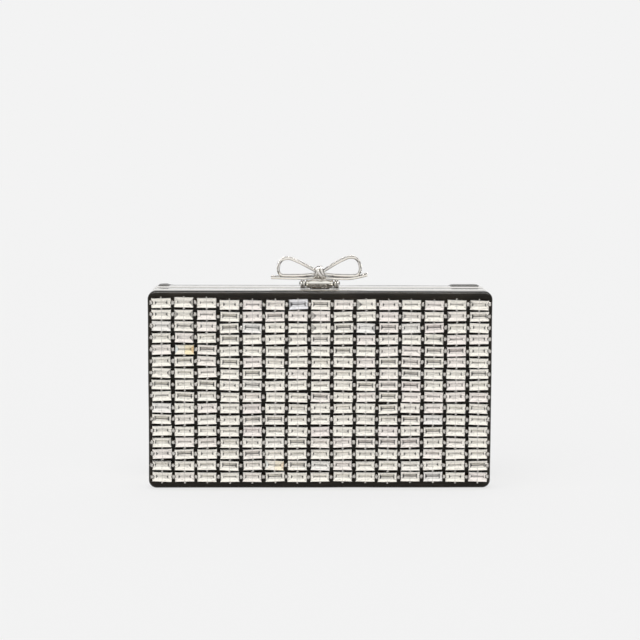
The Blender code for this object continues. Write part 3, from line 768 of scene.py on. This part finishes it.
def path_tree():
    """A shape repeated along a path in the XZ plane, with its own Z on the left of the way.

    Near x = 0 the shape is narrower in Y, as the ribbon is.
    """
    tree, given = new_tree(
        "shapes along a path", Object=("Path", "Shape"), Int=("Seed",),
        Float=("Pitch", "Start", "End", "Narrow", "Narrow From", "Narrow To"),
    )
    path, shape = (
        add(tree, "ObjectInfo", given[title]).outputs["Geometry"] for title in ("Path", "Shape")
    )
    line = add(tree, "MeshToCurve", path)
    cut = add(tree, "TrimCurve", {"Curve": line, "Start": given["Start"], "End": given["End"]})
    even = add(tree, "ResampleCurve", {"Curve": cut, "Length": given["Pitch"]}, mode="LENGTH")
    way = {"Vector": add(tree, "InputTangent")}
    place = add(tree, "SeparateXYZ", add(tree, "InputPosition"))
    aside = add(tree, "Math", place, operation="ABSOLUTE")
    narrow = given["Narrow From"], given["Narrow To"], given["Narrow"]
    widen = add(tree, "MapRange", aside, *narrow, 1.0, interpolation_type="SMOOTHSTEP")
    instances = add(tree, "InstanceOnPoints", {
        "Points": even, "Instance": shape, "Scale": add(tree, "CombineXYZ", 1.0, widen, 1.0),
        "Rotation": add(tree, "AlignRotationToVector", way, axis="X", pivot_axis="Y"),
    })
    chance = add(tree, "RandomValue", 0.0, 0.9, {"Seed": given["Seed"]}, data_type="FLOAT")
    end_tree(tree, instances, given, {"stone_tint": chance})
    return tree


def grown(name, tree, values, matrix=None):
    """The plain mesh that a tree makes from named input values."""
    piece = new_piece(name, bpy.data.meshes.new(name))
    modifier = piece.modifiers.new("tree", "NODES")
    modifier.node_group = tree
    for item in tree.interface.items_tree:
        if item.item_type == "SOCKET" and item.in_out == "INPUT":
            modifier[item.identifier] = values[item.name]
    return flatten(piece, matrix)


# Bow paths: shares of a loop's reach and of its rise above the lower run, as the metal is bent, and shares of the
# right tail's reach and of the rise of its end
loop_shares = (
    (0.607, 0.884), (0.772, 1.000), (0.925, 0.890), (1.000, 0.560),
    (0.995, 0.190), (0.930, 0.030), (0.800, 0.003), (0.580, 0.006), (0.340, 0.032),
)
tail_shares = ((0.40, -0.12), (0.62, -0.14), (0.80, 0.28), (1.00, 1.00))
# How far from the knot's middle a ribbon begins to widen and has its full width
narrow_from, narrow_to = 0.0030, 0.0075
# From one small stone to the next, in stones
stone_spacing = 1.04


def line_of(name, points):
    """A path as a mesh of edges."""
    mesh = bpy.data.meshes.new(name)
    mesh.from_pydata(points, [(place, place + 1) for place in range(len(points) - 1)], [])
    return new_piece(name, mesh)


def smooth_path(name, points):
    """A polyline along a smooth line through (x, z) points, as a mesh of edges in the XZ plane."""
    curve = bpy.data.curves.new(name, "CURVE")
    curve.dimensions = "2D"
    curve.fill_mode = "NONE"
    curve.resolution_u = 10
    spline = curve.splines.new("BEZIER")
    spline.bezier_points.add(len(points) - 1)
    for point, (x, z) in zip(spline.bezier_points, points):
        point.co = (x, z, 0)
        point.handle_left_type = point.handle_right_type = "AUTO"
    line = new_piece(name, curve)
    line.rotation_euler = (math.pi / 2, 0, 0)
    return flatten(line)


def ribbon_section(sizes):
    """The ribbon's section as (across, out, painted shade of the side that follows): flat inside, ridged edges, and
    outside a sunk channel between rails."""
    edge, ridge = sizes.thickness * 0.2, sizes.thickness * 0.125
    half, out = sizes.width / 2, sizes.thickness / 2
    side = [
        (half - edge, -out), (half - edge * 0.3, -out + edge * 0.3), (half, -out + edge),
        (half + ridge, 0), (half, out - edge), (half - edge * 0.3, out - edge * 0.3), (half - edge, out),
        (half - sizes.rail + edge / 2, out), (half - sizes.rail, out - edge / 2),
        (half - sizes.rail, out - sizes.channel),
    ]
    # Painted shade: the bevels, the rails and the channel are dark round the bright ridged edge and the flat inside
    dark = (1.0, 1.0, 0.0, 0.0, 0.8) + (1.0,) * 9 + (0.8, 0.0, 0.0, 1.0, 1.0, 0.0)
    return [(*place, tarnish) for place, tarnish in zip(both_sides(side), dark)]


def strand_section(sizes):
    """A strand of the knot: rounded outside, with painted shade on its edges and a little on its top."""
    half, out = sizes.strand / 2, sizes.strand_thickness / 2
    side = [(half, -out), (half, 0), (half * 0.8, out * 0.6), (half * 0.35, out)]
    # Painted shade: dark edges, a little on the top, none on the inside
    dark = (1.0, 0.9, 0.14, 0.14, 0.14, 0.8, 1.0, 0.0)
    return [(*place, tarnish) for place, tarnish in zip(both_sides(side), dark)]


def ribbon(name, line, section, narrow=1.0):
    """A section swept along a path in the XZ plane; the section's out side is on the left of the way."""
    points = [vert.co.copy() for vert in line.data.vertices]
    closed = (points[0] - points[-1]).length < 0.00001
    if closed:
        points.pop()
    loops = []
    for index, point in enumerate(points):
        before, after = points[max(index - 1, 0)], points[min(index + 1, len(points) - 1)]
        if closed:
            before, after = points[index - 1], points[(index + 1) % len(points)]
        way = (after - before).normalized()
        out = Vector((-way.z, 0, way.x))
        part = held((abs(point.x) - narrow_from) / (narrow_to - narrow_from))
        wide = narrow + (1 - narrow) * part * part * (3 - 2 * part)
        loops.append([point + out * up + Vector((0, across * wide, 0)) for across, up, dark in section])
    piece = lofted(name, loops, 42, closed)
    swept = len(section) * (len(loops) - (0 if closed else 1))
    faces = range(len(piece.data.polygons))
    # Painted shade along the sides that the section marks dark
    darken(piece, "FACE", [section[face % len(section)][2] if face < swept else 0.0 for face in faces])
    return piece


def pave_patterns(sizes):
    """Across a ribbon: a row of small round stones, the grains between them, and a bead on each edge."""
    radius, pitch = sizes.stone / 2, sizes.stone * stone_spacing
    places = max(1, int((sizes.width - 2 * sizes.rail) / sizes.stone))
    floor = sizes.thickness / 2 - sizes.channel
    stones, grains, edging = bmesh.new(), bmesh.new(), bmesh.new()
    shade = stones.faces.layers.float.new("foil_shade")
    for index in range(places):
        y = (index - (places - 1) / 2) * pitch
        sides, ends = skin(stones, [
            [(radius * size * across, y + radius * size * up, floor + z) for across, up in circle(8, 0.5)]
            for size, z in ((0.35, -0.00002), (1.0, 0.00028), (1.0, 0.00034), (0.58, 0.00054))
        ])
        # Painted light and shade of the small stones' backs: alternate facets brighter, the keel greyer
        ends[0][shade] = 0.5
        for side in range(8):
            sides[side][shade] = 0.75 + 0.25 * (side % 2)
    for index in range(places + 1):
        ball(grains, (pitch / 2, (index - places / 2) * pitch, floor + 0.00034), (0.0002, 0.0002, 0.00022), 6, 4)
    dark = edging.faces.layers.float.new("tarnish")
    for sign in (-1, 1):
        place = (0, sign * (sizes.width / 2 - sizes.bead), sizes.thickness / 2)
        # Painted shade: each edge bead is dark on its top and bottom and bright to the front
        for face in ball(edging, place, (sizes.bead,) * 3, 8, 6):
            face[dark] = held(0.08 + 1.1 * face.normal.z ** 2)
    return (
        piece_of("pave_stone_pattern", stones), piece_of("pave_grain_pattern", grains),
        piece_of("edge_bead_pattern", edging),
    )


def directly_seen(tree):
    """1 for what the camera sees, also in a mirror or through a stone, and 0 for the light that a surface gets."""
    ray = add(tree, "LightPath").outputs
    seen = add(tree, "Math", ray["Is Camera Ray"], ray["Is Glossy Ray"], operation="MAXIMUM")
    return add(tree, "Math", seen, ray["Is Transmission Ray"], operation="MAXIMUM")


# Operators


class CLUTCH_OT_stage(bpy.types.Operator):
    """Floor, light, grey cards that only reflections see, and the camera."""
    bl_idname = "clutch.stage"
    bl_label = "Stage"

    def execute(self, context):
        stage = settings("stage")
        self.floor(stage)
        self.cards()
        self.lamps(context)
        self.world(context)
        self.camera(context, stage)
        context.scene.view_settings.view_transform = "Standard"
        return {"FINISHED"}

    def floor(self, stage):
        """Pale paper: it keeps a part of its own shading, and far away it turns into the backdrop."""
        bm = bmesh.new()
        bmesh.ops.create_circle(bm, cap_ends=True, segments=96, radius=stage.floor_radius)
        floor = piece_of("floor", bm)
        material, tree = new_material("paper, matt white")
        away = add(tree, "VectorMath", add(tree, "TexCoord").outputs["Object"], operation="LENGTH")
        near, far = 0.6, 3.0
        even = add(tree, "MapRange", away, near, far, 1 - stage.shadow, 1.0, interpolation_type="SMOOTHSTEP")
        even = add(tree, "Math", even, directly_seen(tree), operation="MULTIPLY")
        matt, glow = add(tree, "BsdfDiffuse", paint("floor")), add(tree, "Emission", paint("floor"), 1.0)
        add(tree, "OutputMaterial", add(tree, "MixShader", even, matt, glow))
        floor.data.materials.append(material)

    def cards(self):
        """Soft boxes and grey cards as in a product studio, which only reflections see: a bright one overhead for
        the highlight along the rims, a pale one in front for the stones, and darker ones behind it and beside."""
        for name, place, turn, size, level in (
            ("card_left", (-1.05, -0.35, 0.42), (0, 90, 18), (0.84, 1.2), 0.42),
            ("card_right", (1.05, -0.35, 0.42), (0, -90, -18), (0.84, 1.2), 0.42),
            ("soft_box_over", (0.0, 0.0, 1.45), (0, 0, 0), (2.4, 0.46), 13.0),
            ("soft_box_front", (0.0, -1.20, 1.10), (50, 0, 0), (2.6, 1.90), 1.07),
            ("card_ceiling", (0.0, 1.05, 1.50), (-20, 0, 0), (3.0, 2.2), 0.10),
        ):
            bm = bmesh.new()
            bmesh.ops.create_grid(bm, x_segments=1, y_segments=1, size=0.5)
            card = piece_of(name, bm)
            matrix = Matrix.Translation(place) @ Euler([math.radians(t) for t in turn]).to_matrix().to_4x4()
            card.data.transform(matrix @ Matrix.Diagonal((*size, 1, 1)))
            material, tree = new_material(name)
            add(tree, "OutputMaterial", add(tree, "Emission", (1, 1, 1, 1), level))
            card.data.materials.append(material)
            card.visible_camera = card.visible_diffuse = card.visible_shadow = False

    def lamps(self, context):
        """Two very soft lamps, one overhead and one from the left. The soft boxes are their reflections."""
        for name, strength, spread, turn in (
            ("key_lamp", 1.15, 44, (12, 0, -8)), ("side_lamp", 0.45, 60, (52, 0, -62)),
        ):
            lamp = bpy.data.lights.new(name, "SUN")
            lamp.energy = strength
            lamp.angle = math.radians(spread)
            holder = new_piece(name, lamp)
            holder.rotation_euler = [math.radians(t) for t in turn]
            holder.visible_glossy = holder.visible_transmission = False

    def world(self, context):
        """The pale backdrop for the camera and for reflections, and a weaker even light for the rest."""
        world = bpy.data.worlds.new("studio")
        world.use_nodes = True
        tree = world.node_tree
        tree.nodes.clear()
        backdrop, fill = add(tree, "Background", paint("floor"), 1.0), add(tree, "Background", (1, 1, 1, 1), 0.54)
        add(tree, "OutputWorld", add(tree, "MixShader", directly_seen(tree), fill, backdrop))
        context.scene.world = world

    def camera(self, context, stage):
        """The camera at its distance from the point it looks at, tilted by its roll."""
        rise, side, roll = stage.elevation, stage.azimuth, stage.roll
        view = Vector((-math.sin(side) * math.cos(rise), math.cos(side) * math.cos(rise), -math.sin(rise)))
        level = view.cross(Vector((0, 0, 1))).normalized()
        upward = level.cross(view)
        across = math.cos(roll) * level + math.sin(roll) * upward
        up = -math.sin(roll) * level + math.cos(roll) * upward
        place = Vector((stage.aim_x, 0, stage.aim_z)) - view * stage.distance
        lens = bpy.data.cameras.new("camera")
        lens.lens = stage.lens
        lens.sensor_width = 36
        camera = new_piece("camera", lens)
        camera.matrix_world = Matrix.Translation(place) @ Matrix((across, up, -view)).transposed().to_4x4()
        context.scene.camera = camera


class CLUTCH_OT_panels(bpy.types.Operator):
    """The two satin covered panels."""
    bl_idname = "clutch.panels"
    bl_label = "Panels"

    def execute(self, context):
        sizes = settings("covers")
        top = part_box("back_panel")[1].z
        slope, mouth_share = 0.0015, 0.42
        along, across, edge = 28, 90, 0.001

        def uneven(point, down, outside):
            """The covering is never quite flat over its board, except at its very edge."""
            if not outside or down < edge:
                return 0.0
            return sizes.wave * max(0, noise.noise(Vector((point.x * along, down * across, point.z * along))))

        def front_inset(point, way, down, depth, outside):
            return uneven(point, down, outside) - (sizes.swell * max(way.z, 0) if outside else 0)

        def back_inset(point, way, down, depth, outside):
            if point.z < top - sizes.corner:
                return uneven(point, down, outside)
            start = sizes.hollow_left if point.x < 0 else sizes.hollow_right
            peak = held((abs(point.x) - start) / slope) * held((sizes.peak_end - abs(point.x)) / slope)
            dip = mouth_share + (1 - mouth_share) * down / depth
            return sizes.hollow * dip * (1 - peak) + uneven(point, down, outside)

        for half, side, inset_of in (("front", -1, front_inset), ("back", 1, back_inset)):
            low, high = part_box(half + "_panel")
            cover = shell(half + "_cover", low, high, side, sizes.wall, sizes.corner, sizes.rim, sizes.tuck, inset_of)
            settle(cover, half + "_half", "panel_satin", "satin, black, woven", half + "_panel")
        return {"FINISHED"}


class CLUTCH_OT_frames(bpy.types.Operator):
    """The two metal frames, their edges softened so that a fine groove parts them."""
    bl_idname = "clutch.frames"
    bl_label = "Frames"

    def execute(self, context):
        for half in ("front", "back"):
            band = refined(half + "_frame", half + "_band", 0.00007)
            settle(band, half + "_half", "polished_metal", "nickel plate, brushed", half + "_frame")
        return {"FINISHED"}


class CLUTCH_OT_linings(bpy.types.Operator):
    """The two lining trays, satin over thin board, with a line of stitches round the mouth."""
    bl_idname = "clutch.linings"
    bl_label = "Linings"

    def execute(self, context):
        sizes = settings("covers")
        tree = path_tree()
        bm = bmesh.new()
        ball(bm, (0, 0, 0), (sizes.stitch / 2, 0.00016, 0.00018), 6, 5)
        stitch = piece_of("stitch_pattern", bm)
        for half, side in (("front", -1), ("back", 1)):
            node, body = half + "_lining", half + "_half"
            low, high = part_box(node)
            tray = shell(node + "_tray", low, high, side, sizes.lining_wall, sizes.lining_corner, sizes.lining_rim)
            settle(tray, body, "lining", "lining satin, black", node)
            inset = sizes.lining_wall / 2
            points = [point - way * inset for point, way in outline(low, high, sizes.lining_corner)]
            line = line_of("mouth_path", points + points[:1])
            thread = finish("polyester thread")
            stitches = grown(node + "_stitches", tree, {
                "Path": line, "Shape": stitch, "Pitch": sizes.stitch_pitch, "Start": 0.0, "End": 1.0,
                "Narrow": 1.0, "Narrow From": narrow_from, "Narrow To": narrow_to, "Seed": 0,
                "Front Material": thread, "Back Material": thread,
            }, Matrix.Translation((0, high.y if side < 0 else low.y, 0)))
            settle(stitches, body, "lining", None)
            discard(line)
        discard(stitch)
        bpy.data.node_groups.remove(tree)
        return {"FINISHED"}


class CLUTCH_OT_hinge(bpy.types.Operator):
    """Hinge leaves, hinge pin, strike plate, clasp pin and spring."""
    bl_idname = "clutch.hinge"
    bl_label = "Hinge and steel pieces"

    def execute(self, context):
        for node, body in (
            ("hinge_front_leaf", "front_half"), ("hinge_back_leaf", "back_half"), ("hinge_pin", "back_half"),
            ("strike_plate", "front_half"), ("clasp_pin", "back_half"), ("clasp_spring", "back_half"),
        ):
            settle(refined(node, node + "_steel"), body, "steel", "steel, bright drawn", node)
        return {"FINISHED"}


class CLUTCH_OT_clasp(bpy.types.Operator):
    """The turned barrel with its hook, darkened underneath by painted shade, and the bracket whose ears hold it."""
    bl_idname = "clutch.clasp"
    bl_label = "Clasp"

    def execute(self, context):
        sizes = settings("clasp")
        half, radius = barrel_high.x, sizes.barrel
        profile = both_sides([
            (half, sizes.bore), (half, radius - 0.0004), (half - 0.00015, radius - 0.00018), (half - 0.0004, radius),
            (half - 0.0013, radius), (half - 0.00145, radius - 0.00022), (half - 0.0017, radius - 0.00022),
            (half - 0.00185, radius - 0.00004), (half - 0.0035, radius),
        ])
        barrel = lofted("clasp_barrel", [
            [Vector((across, axis_y + out * level, axis_z + out * up)) for level, up in circle(40)]
            for across, out in profile
        ], 35, closed=True)
        # Painted shade: the barrel darkens towards its underside
        shaded_underside = [held((axis_z - vert.co.z) / radius * 1.6 - 0.8) for vert in barrel.data.vertices]
        darken(barrel, "POINT", shaded_underside)
        lip, under = frame_top + 0.00006, frame_top + 0.00035
        over, tip, root = under + sizes.hook, barrel_low.y, axis_y - 0.0002
        side = (
            (root, over + 0.0003), (axis_y - 0.0012, over), (tip + 0.0006, over), (tip, over - 0.0002),
            (tip, lip), (tip + 0.0007, lip), (tip + 0.0012, under), (root, under),
        )
        loops = []
        for sign in (-1, 1):
            wide = [sizes.hook_tip + (sizes.hook_root - sizes.hook_tip) * (y - tip) / (root - tip) for y, z in side]
            loops.append([Vector((sign * across / 2, y, z)) for across, (y, z) in zip(wide, side)])
        hook = soften(lofted("clasp_hook", loops), 0.0001, 2)
        # Painted shade under the barrel: the hook is dark at its tip and less so towards the barrel
        bright_from = 0.007
        darken(hook, "POINT", [held(1 - vert.co.y / bright_from) for vert in hook.data.vertices])
        bm = bmesh.new()
        ball(bm, (0, -radius, 0), (sizes.dot, 0.35 * sizes.dot, sizes.dot), 16, 10)
        screw = piece_of("set_screw", bm)
        place = Matrix.Translation((sizes.dot_place, axis_y, axis_z))
        screw.data.transform(place @ Matrix.Rotation(math.radians(35), 4, "X"))
        settle(barrel, "bow_lever", "polished_metal", "nickel plate, polished", "clasp_lever")
        settle(hook, "bow_lever", "polished_metal", "nickel plate, polished", "clasp_lever")
        settle(screw, "bow_lever", "steel", "steel, bright drawn")
        self.bracket(sizes)
        return {"FINISHED"}

    def bracket(self, sizes):
        """Two ears with dark grooves, each on a foot, and the web behind that joins them."""
        low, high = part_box("clasp_bracket")
        foot, fade = 0.0015, 0.0008
        ground, reach, top = low.z, (high.y - low.y) / 2, high.z - axis_z
        levels = (0.0, 0.0005, 0.0010, foot)
        profile = [(axis_y - reach, ground + up) for up in reversed(levels)]
        profile += [(axis_y + reach, ground + up) for up in levels]
        profile += [
            (axis_y + reach * across, ground + foot + (high.z - ground - foot) * up) for across, up in circle(32)[1:16]
        ]
        ribs = (
            (0.0, 1.0), (0.10, 0.0), (0.36, 0.0), (0.42, 0.7), (0.50, 0.7), (0.56, 0.0), (0.88, 0.0), (1.0, 1.0),
        )
        grooved = (2, 3, 4)
        parts = []
        for sign in (-1, 1):
            loops = []
            for along, sunk in ribs:
                x, less = sign * (high.x - along * sizes.ear), 1 - sunk * sizes.ear_groove / top
                loops.append([
                    Vector((x, axis_y + (y - axis_y) * less, ground + (z - ground) * less)) for y, z in profile
                ])
            ear = lofted("ear", loops, 50)
            # Painted shade and oxide: the grooves are dark, and each ear is a little dark all over and darker towards
            # its foot
            darken(ear, "FACE", [
                0.7 if face.index // len(profile) in grooved
                else 0.25 + 0.5 * held((ground + foot - face.center.z) / fade)
                for face in ear.data.polygons
            ])
            parts.append(ear)
        inner, behind = high.x - sizes.ear + 0.0002, axis_y + reach
        web_low, web_high = Vector((-inner, behind - 0.0010, ground)), Vector((inner, behind - 0.0001, ground + foot))
        parts.append(block("web", web_low, web_high, 0.0002, 2))
        settle(joined("clasp_ears", parts), "back_half", "polished_metal", "nickel plate, polished", "clasp_bracket")


class CLUTCH_OT_stones(bpy.types.Operator):
    """The stones on the front panel, in their settings."""
    bl_idname = "clutch.stones"
    bl_label = "Stones"

    def execute(self, context):
        sizes = settings("stones")
        tree = grid_tree()
        columns = len(column_names)
        common = {
            "Columns": columns, "Rows": sizes.rows, "Column Pitch": column_pitch,
            "Row Pitch": stone_height() + sizes.row_gap,
            "Centre": (0.0, panel_face, (first_column[0].z + first_column[1].z) / 2),
            "Tilt": sizes.tilt, "Turn": sizes.turn, "Shift": sizes.shift,
            "Raised Columns": sizes.raised_columns, "Rise": sizes.rise, "Seed": sizes.seed,
            "First Fire Stone": sizes.fire_first, "Second Fire Stone": sizes.fire_second,
            "Blue Stone": sizes.blue_stone,
        }
        between = {**common, "Columns": columns - 1, "Raised Columns": sizes.raised_columns - 1}
        outer_pitch = column_pitch * columns - 2 * sizes.outer_bead_in
        outside = {**common, "Columns": 2, "Raised Columns": 1, "Column Pitch": outer_pitch}
        silver = (finish("rhodium plate, cast settings"),) * 2
        clear = finish("crystal, cut and polished"), finish("silvered stone back")
        for name, slot, nodes, places, (front, back), shapes in (
            ("stones", "crystal", column_names, common, clear, [stone_pattern(letter) for letter in stone_cuts]),
            ("stone_settings", "polished_metal", (), common, silver, [setting_pattern()]),
            ("stone_beads", "polished_metal", (), between, silver, [bead_pattern()]),
            ("stone_outer_beads", "polished_metal", (), outside, silver, [bead_pattern()]),
        ):
            holder = bpy.data.collections.new(name + "_shapes")
            for shape in shapes:
                holder.objects.link(shape)
            values = {"Shapes": holder, "Shape Count": len(shapes), "Front Material": front, "Back Material": back}
            settle(grown("front_" + name, tree, {**places, **values}), "front_half", slot, None, *nodes)
            discard(*shapes)
            bpy.data.collections.remove(holder)
        bpy.data.node_groups.remove(tree)
        return {"FINISHED"}


class CLUTCH_OT_bow(bpy.types.Operator):
    """The bow: ribbons with beaded edges, rows of small stones, and the knot."""
    bl_idname = "clutch.bow"
    bl_label = "Bow"

    def execute(self, context):
        sizes = settings("bow")
        half, gap = sizes.thickness / 2, 0.00005
        self.tree = path_tree()
        self.found = {"stones": [], "beads": []}
        self.patterns = pave_patterns(sizes)
        tail_height = axis_z + settings("clasp").barrel + 0.00045 + half
        run = tail_height + sizes.thickness + gap
        for name, side, reach, start, end in (
            ("left", -1, sizes.left_reach, 0.20, 0.95), ("right", 1, sizes.right_reach, 0.05, 0.80),
        ):
            node = "bow_loop_" + name
            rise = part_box(node)[1].z - half - sizes.bead - gap - run
            points = [(0.0020, run + 0.0023)]
            points += [(across * reach, run + up * rise) for across, up in loop_shares]
            points.append((0.0018, run + 0.0009))
            self.strip(name + "_loop", [(side * x, z) for x, z in points[::side]], node, start, end)
        left = [(-sizes.tail_left, tail_height + 0.0002), (-sizes.tail_left / 2, tail_height - 0.0001)]
        right = [(across * sizes.tail_right, tail_height + up * sizes.flare) for across, up in tail_shares]
        self.strip("tails", left + [(0, tail_height)] + right, "bow_tails", 0.005, 0.995)
        self.knot(sizes)
        settle(joined("bow_stones", self.found["stones"]), "bow_lever", "crystal", None)
        settle(joined("bow_beads", self.found["beads"]), "bow_lever", "pave_metal", None)
        discard(*self.patterns)
        bpy.data.node_groups.remove(self.tree)
        return {"FINISHED"}

    def strip(self, name, points, node, start, end):
        """One ribbon with its stones, grains and edge beads, which run from start to end of its path."""
        sizes = settings("bow")
        into_place = Matrix.Translation((0, axis_y, 0))
        line = smooth_path(name + "_path", points)
        piece = ribbon(name + "_ribbon", line, ribbon_section(sizes), sizes.narrow)
        piece.data.transform(into_place)
        settle(piece, "bow_lever", "pave_metal", "rhodium plate, bow", node)
        row_stones, row_grains, edge_beads = self.patterns
        row_pitch = sizes.stone * stone_spacing
        for kind, shape, pitch, front, back in (
            ("stones", row_stones, row_pitch, "crystal, cut and polished", "silvered stone back"),
            ("beads", row_grains, row_pitch, "rhodium plate, bow", "rhodium plate, bow"),
            ("beads", edge_beads, sizes.bead_pitch, "rhodium plate, bow", "rhodium plate, bow"),
        ):
            self.found[kind].append(grown(name + "_" + kind, self.tree, {
                "Path": line, "Shape": shape, "Pitch": pitch, "Start": start, "End": end, "Seed": sizes.seed,
                "Narrow": sizes.narrow, "Narrow From": narrow_from, "Narrow To": narrow_to,
                "Front Material": finish(front), "Back Material": finish(back),
            }, into_place))
        discard(line)

    def knot(self, sizes):
        """Strands wrapped round a core, closer together at the top, and one that crosses them all."""
        low, high = axis_z + sizes.knot_low, axis_z + sizes.knot_high
        middle = Vector((0, axis_y, (low + high) / 2))
        section, steps, roundness = strand_section(sizes), 40, 0.8
        parts = []
        for lean, aside, inside in (
            (4, -0.0004, 0.0007), (-9, 0.0008, 0.0005), (19, -0.0016, 0.0003), (-20, 0.0016, 0.0002), (-36, 0.0, 0.0),
        ):
            depth = sizes.knot_depth / 2 - sizes.strand_thickness / 2 - inside
            tall = (high - low) / 2 - sizes.strand_thickness / 2 - inside
            points = []
            for step in range(steps + 1):
                turn = -math.pi / 2 - 2 * math.pi * step / steps
                way = math.cos(turn), math.sin(turn)
                across, up = (math.copysign(abs(part) ** roundness, part) for part in way)
                points.append((across * depth, 0, up * tall))
            line = line_of("knot_path", points)
            matrix = Matrix.Translation(middle) @ Matrix.Rotation(math.radians(lean), 4, "Y")
            matrix = matrix @ Matrix.Translation((aside, 0, 0)) @ Matrix.Rotation(math.pi / 2, 4, "Z")
            strand = ribbon("strand", line, section)
            strand.data.transform(matrix)
            # Painted shade on the faces that look up, which holds down the highlight from above
            for face, dark in zip(strand.data.polygons, strand.data.attributes["tarnish"].data):
                dark.value = max(dark.value, held(face.normal.z * 2.5 - 0.9, 0.35))
            parts.append(strand)
            discard(line)
        bm = bmesh.new()
        tall = (high - low) / 2 - sizes.strand_thickness
        ball(bm, middle, (0.0026, sizes.knot_depth / 2 - 0.0011, tall), 20, 12)
        core = piece_of("core", bm)
        # Painted shade: the core between the strands is dark all over
        darken(core, "FACE", [1.0] * len(core.data.polygons))
        parts.append(core)
        settle(joined("knot_strands", parts), "bow_lever", "pave_metal", "rhodium plate, bow", "bow_knot")
        saddle_low = Vector((-0.0042, axis_y - 0.0013, axis_z + 0.0012))
        saddle_high = Vector((0.0042, axis_y + 0.0013, axis_z + settings("clasp").barrel + 0.0006))
        saddle = block("bow_saddle", saddle_low, saddle_high, 0.0004, 4)
        settle(saddle, "bow_lever", "pave_metal", "rhodium plate, bow")


class CLUTCH_PT_build(bpy.types.Panel):
    """Lists the steps that build the clutch."""
    bl_label = "Jewelled clutch"
    bl_idname = "CLUTCH_PT_build"
    bl_space_type = "VIEW_3D"
    bl_region_type = "UI"
    bl_category = "Clutch"

    def draw(self, context):
        for step in steps:
            self.layout.operator(step.bl_idname)
        for group in groups:
            values = settings(group)
            box = self.layout.box()
            for name in values.__annotations__:
                box.prop(values, name)


groups = {
    "colours": ClutchColours, "covers": ClutchCovers, "stones": ClutchStones,
    "clasp": ClutchClasp, "bow": ClutchBow, "stage": ClutchStage,
}
steps = (
    CLUTCH_OT_stage, CLUTCH_OT_panels, CLUTCH_OT_frames, CLUTCH_OT_linings,
    CLUTCH_OT_hinge, CLUTCH_OT_clasp, CLUTCH_OT_stones, CLUTCH_OT_bow,
)


def register():
    for cls in (*groups.values(), *steps, CLUTCH_PT_build):
        bpy.utils.register_class(cls)
    for name, group in groups.items():
        setattr(bpy.types.Scene, "clutch_" + name, bpy.props.PointerProperty(type=group))


def unregister():
    for name in groups:
        delattr(bpy.types.Scene, "clutch_" + name)
    for cls in reversed((*groups.values(), *steps, CLUTCH_PT_build)):
        bpy.utils.unregister_class(cls)


def main():
    register()
    for step in steps:
        family, title = step.bl_idname.split(".")
        getattr(getattr(bpy.ops, family), title)()


if __name__ == "__main__":
    main()
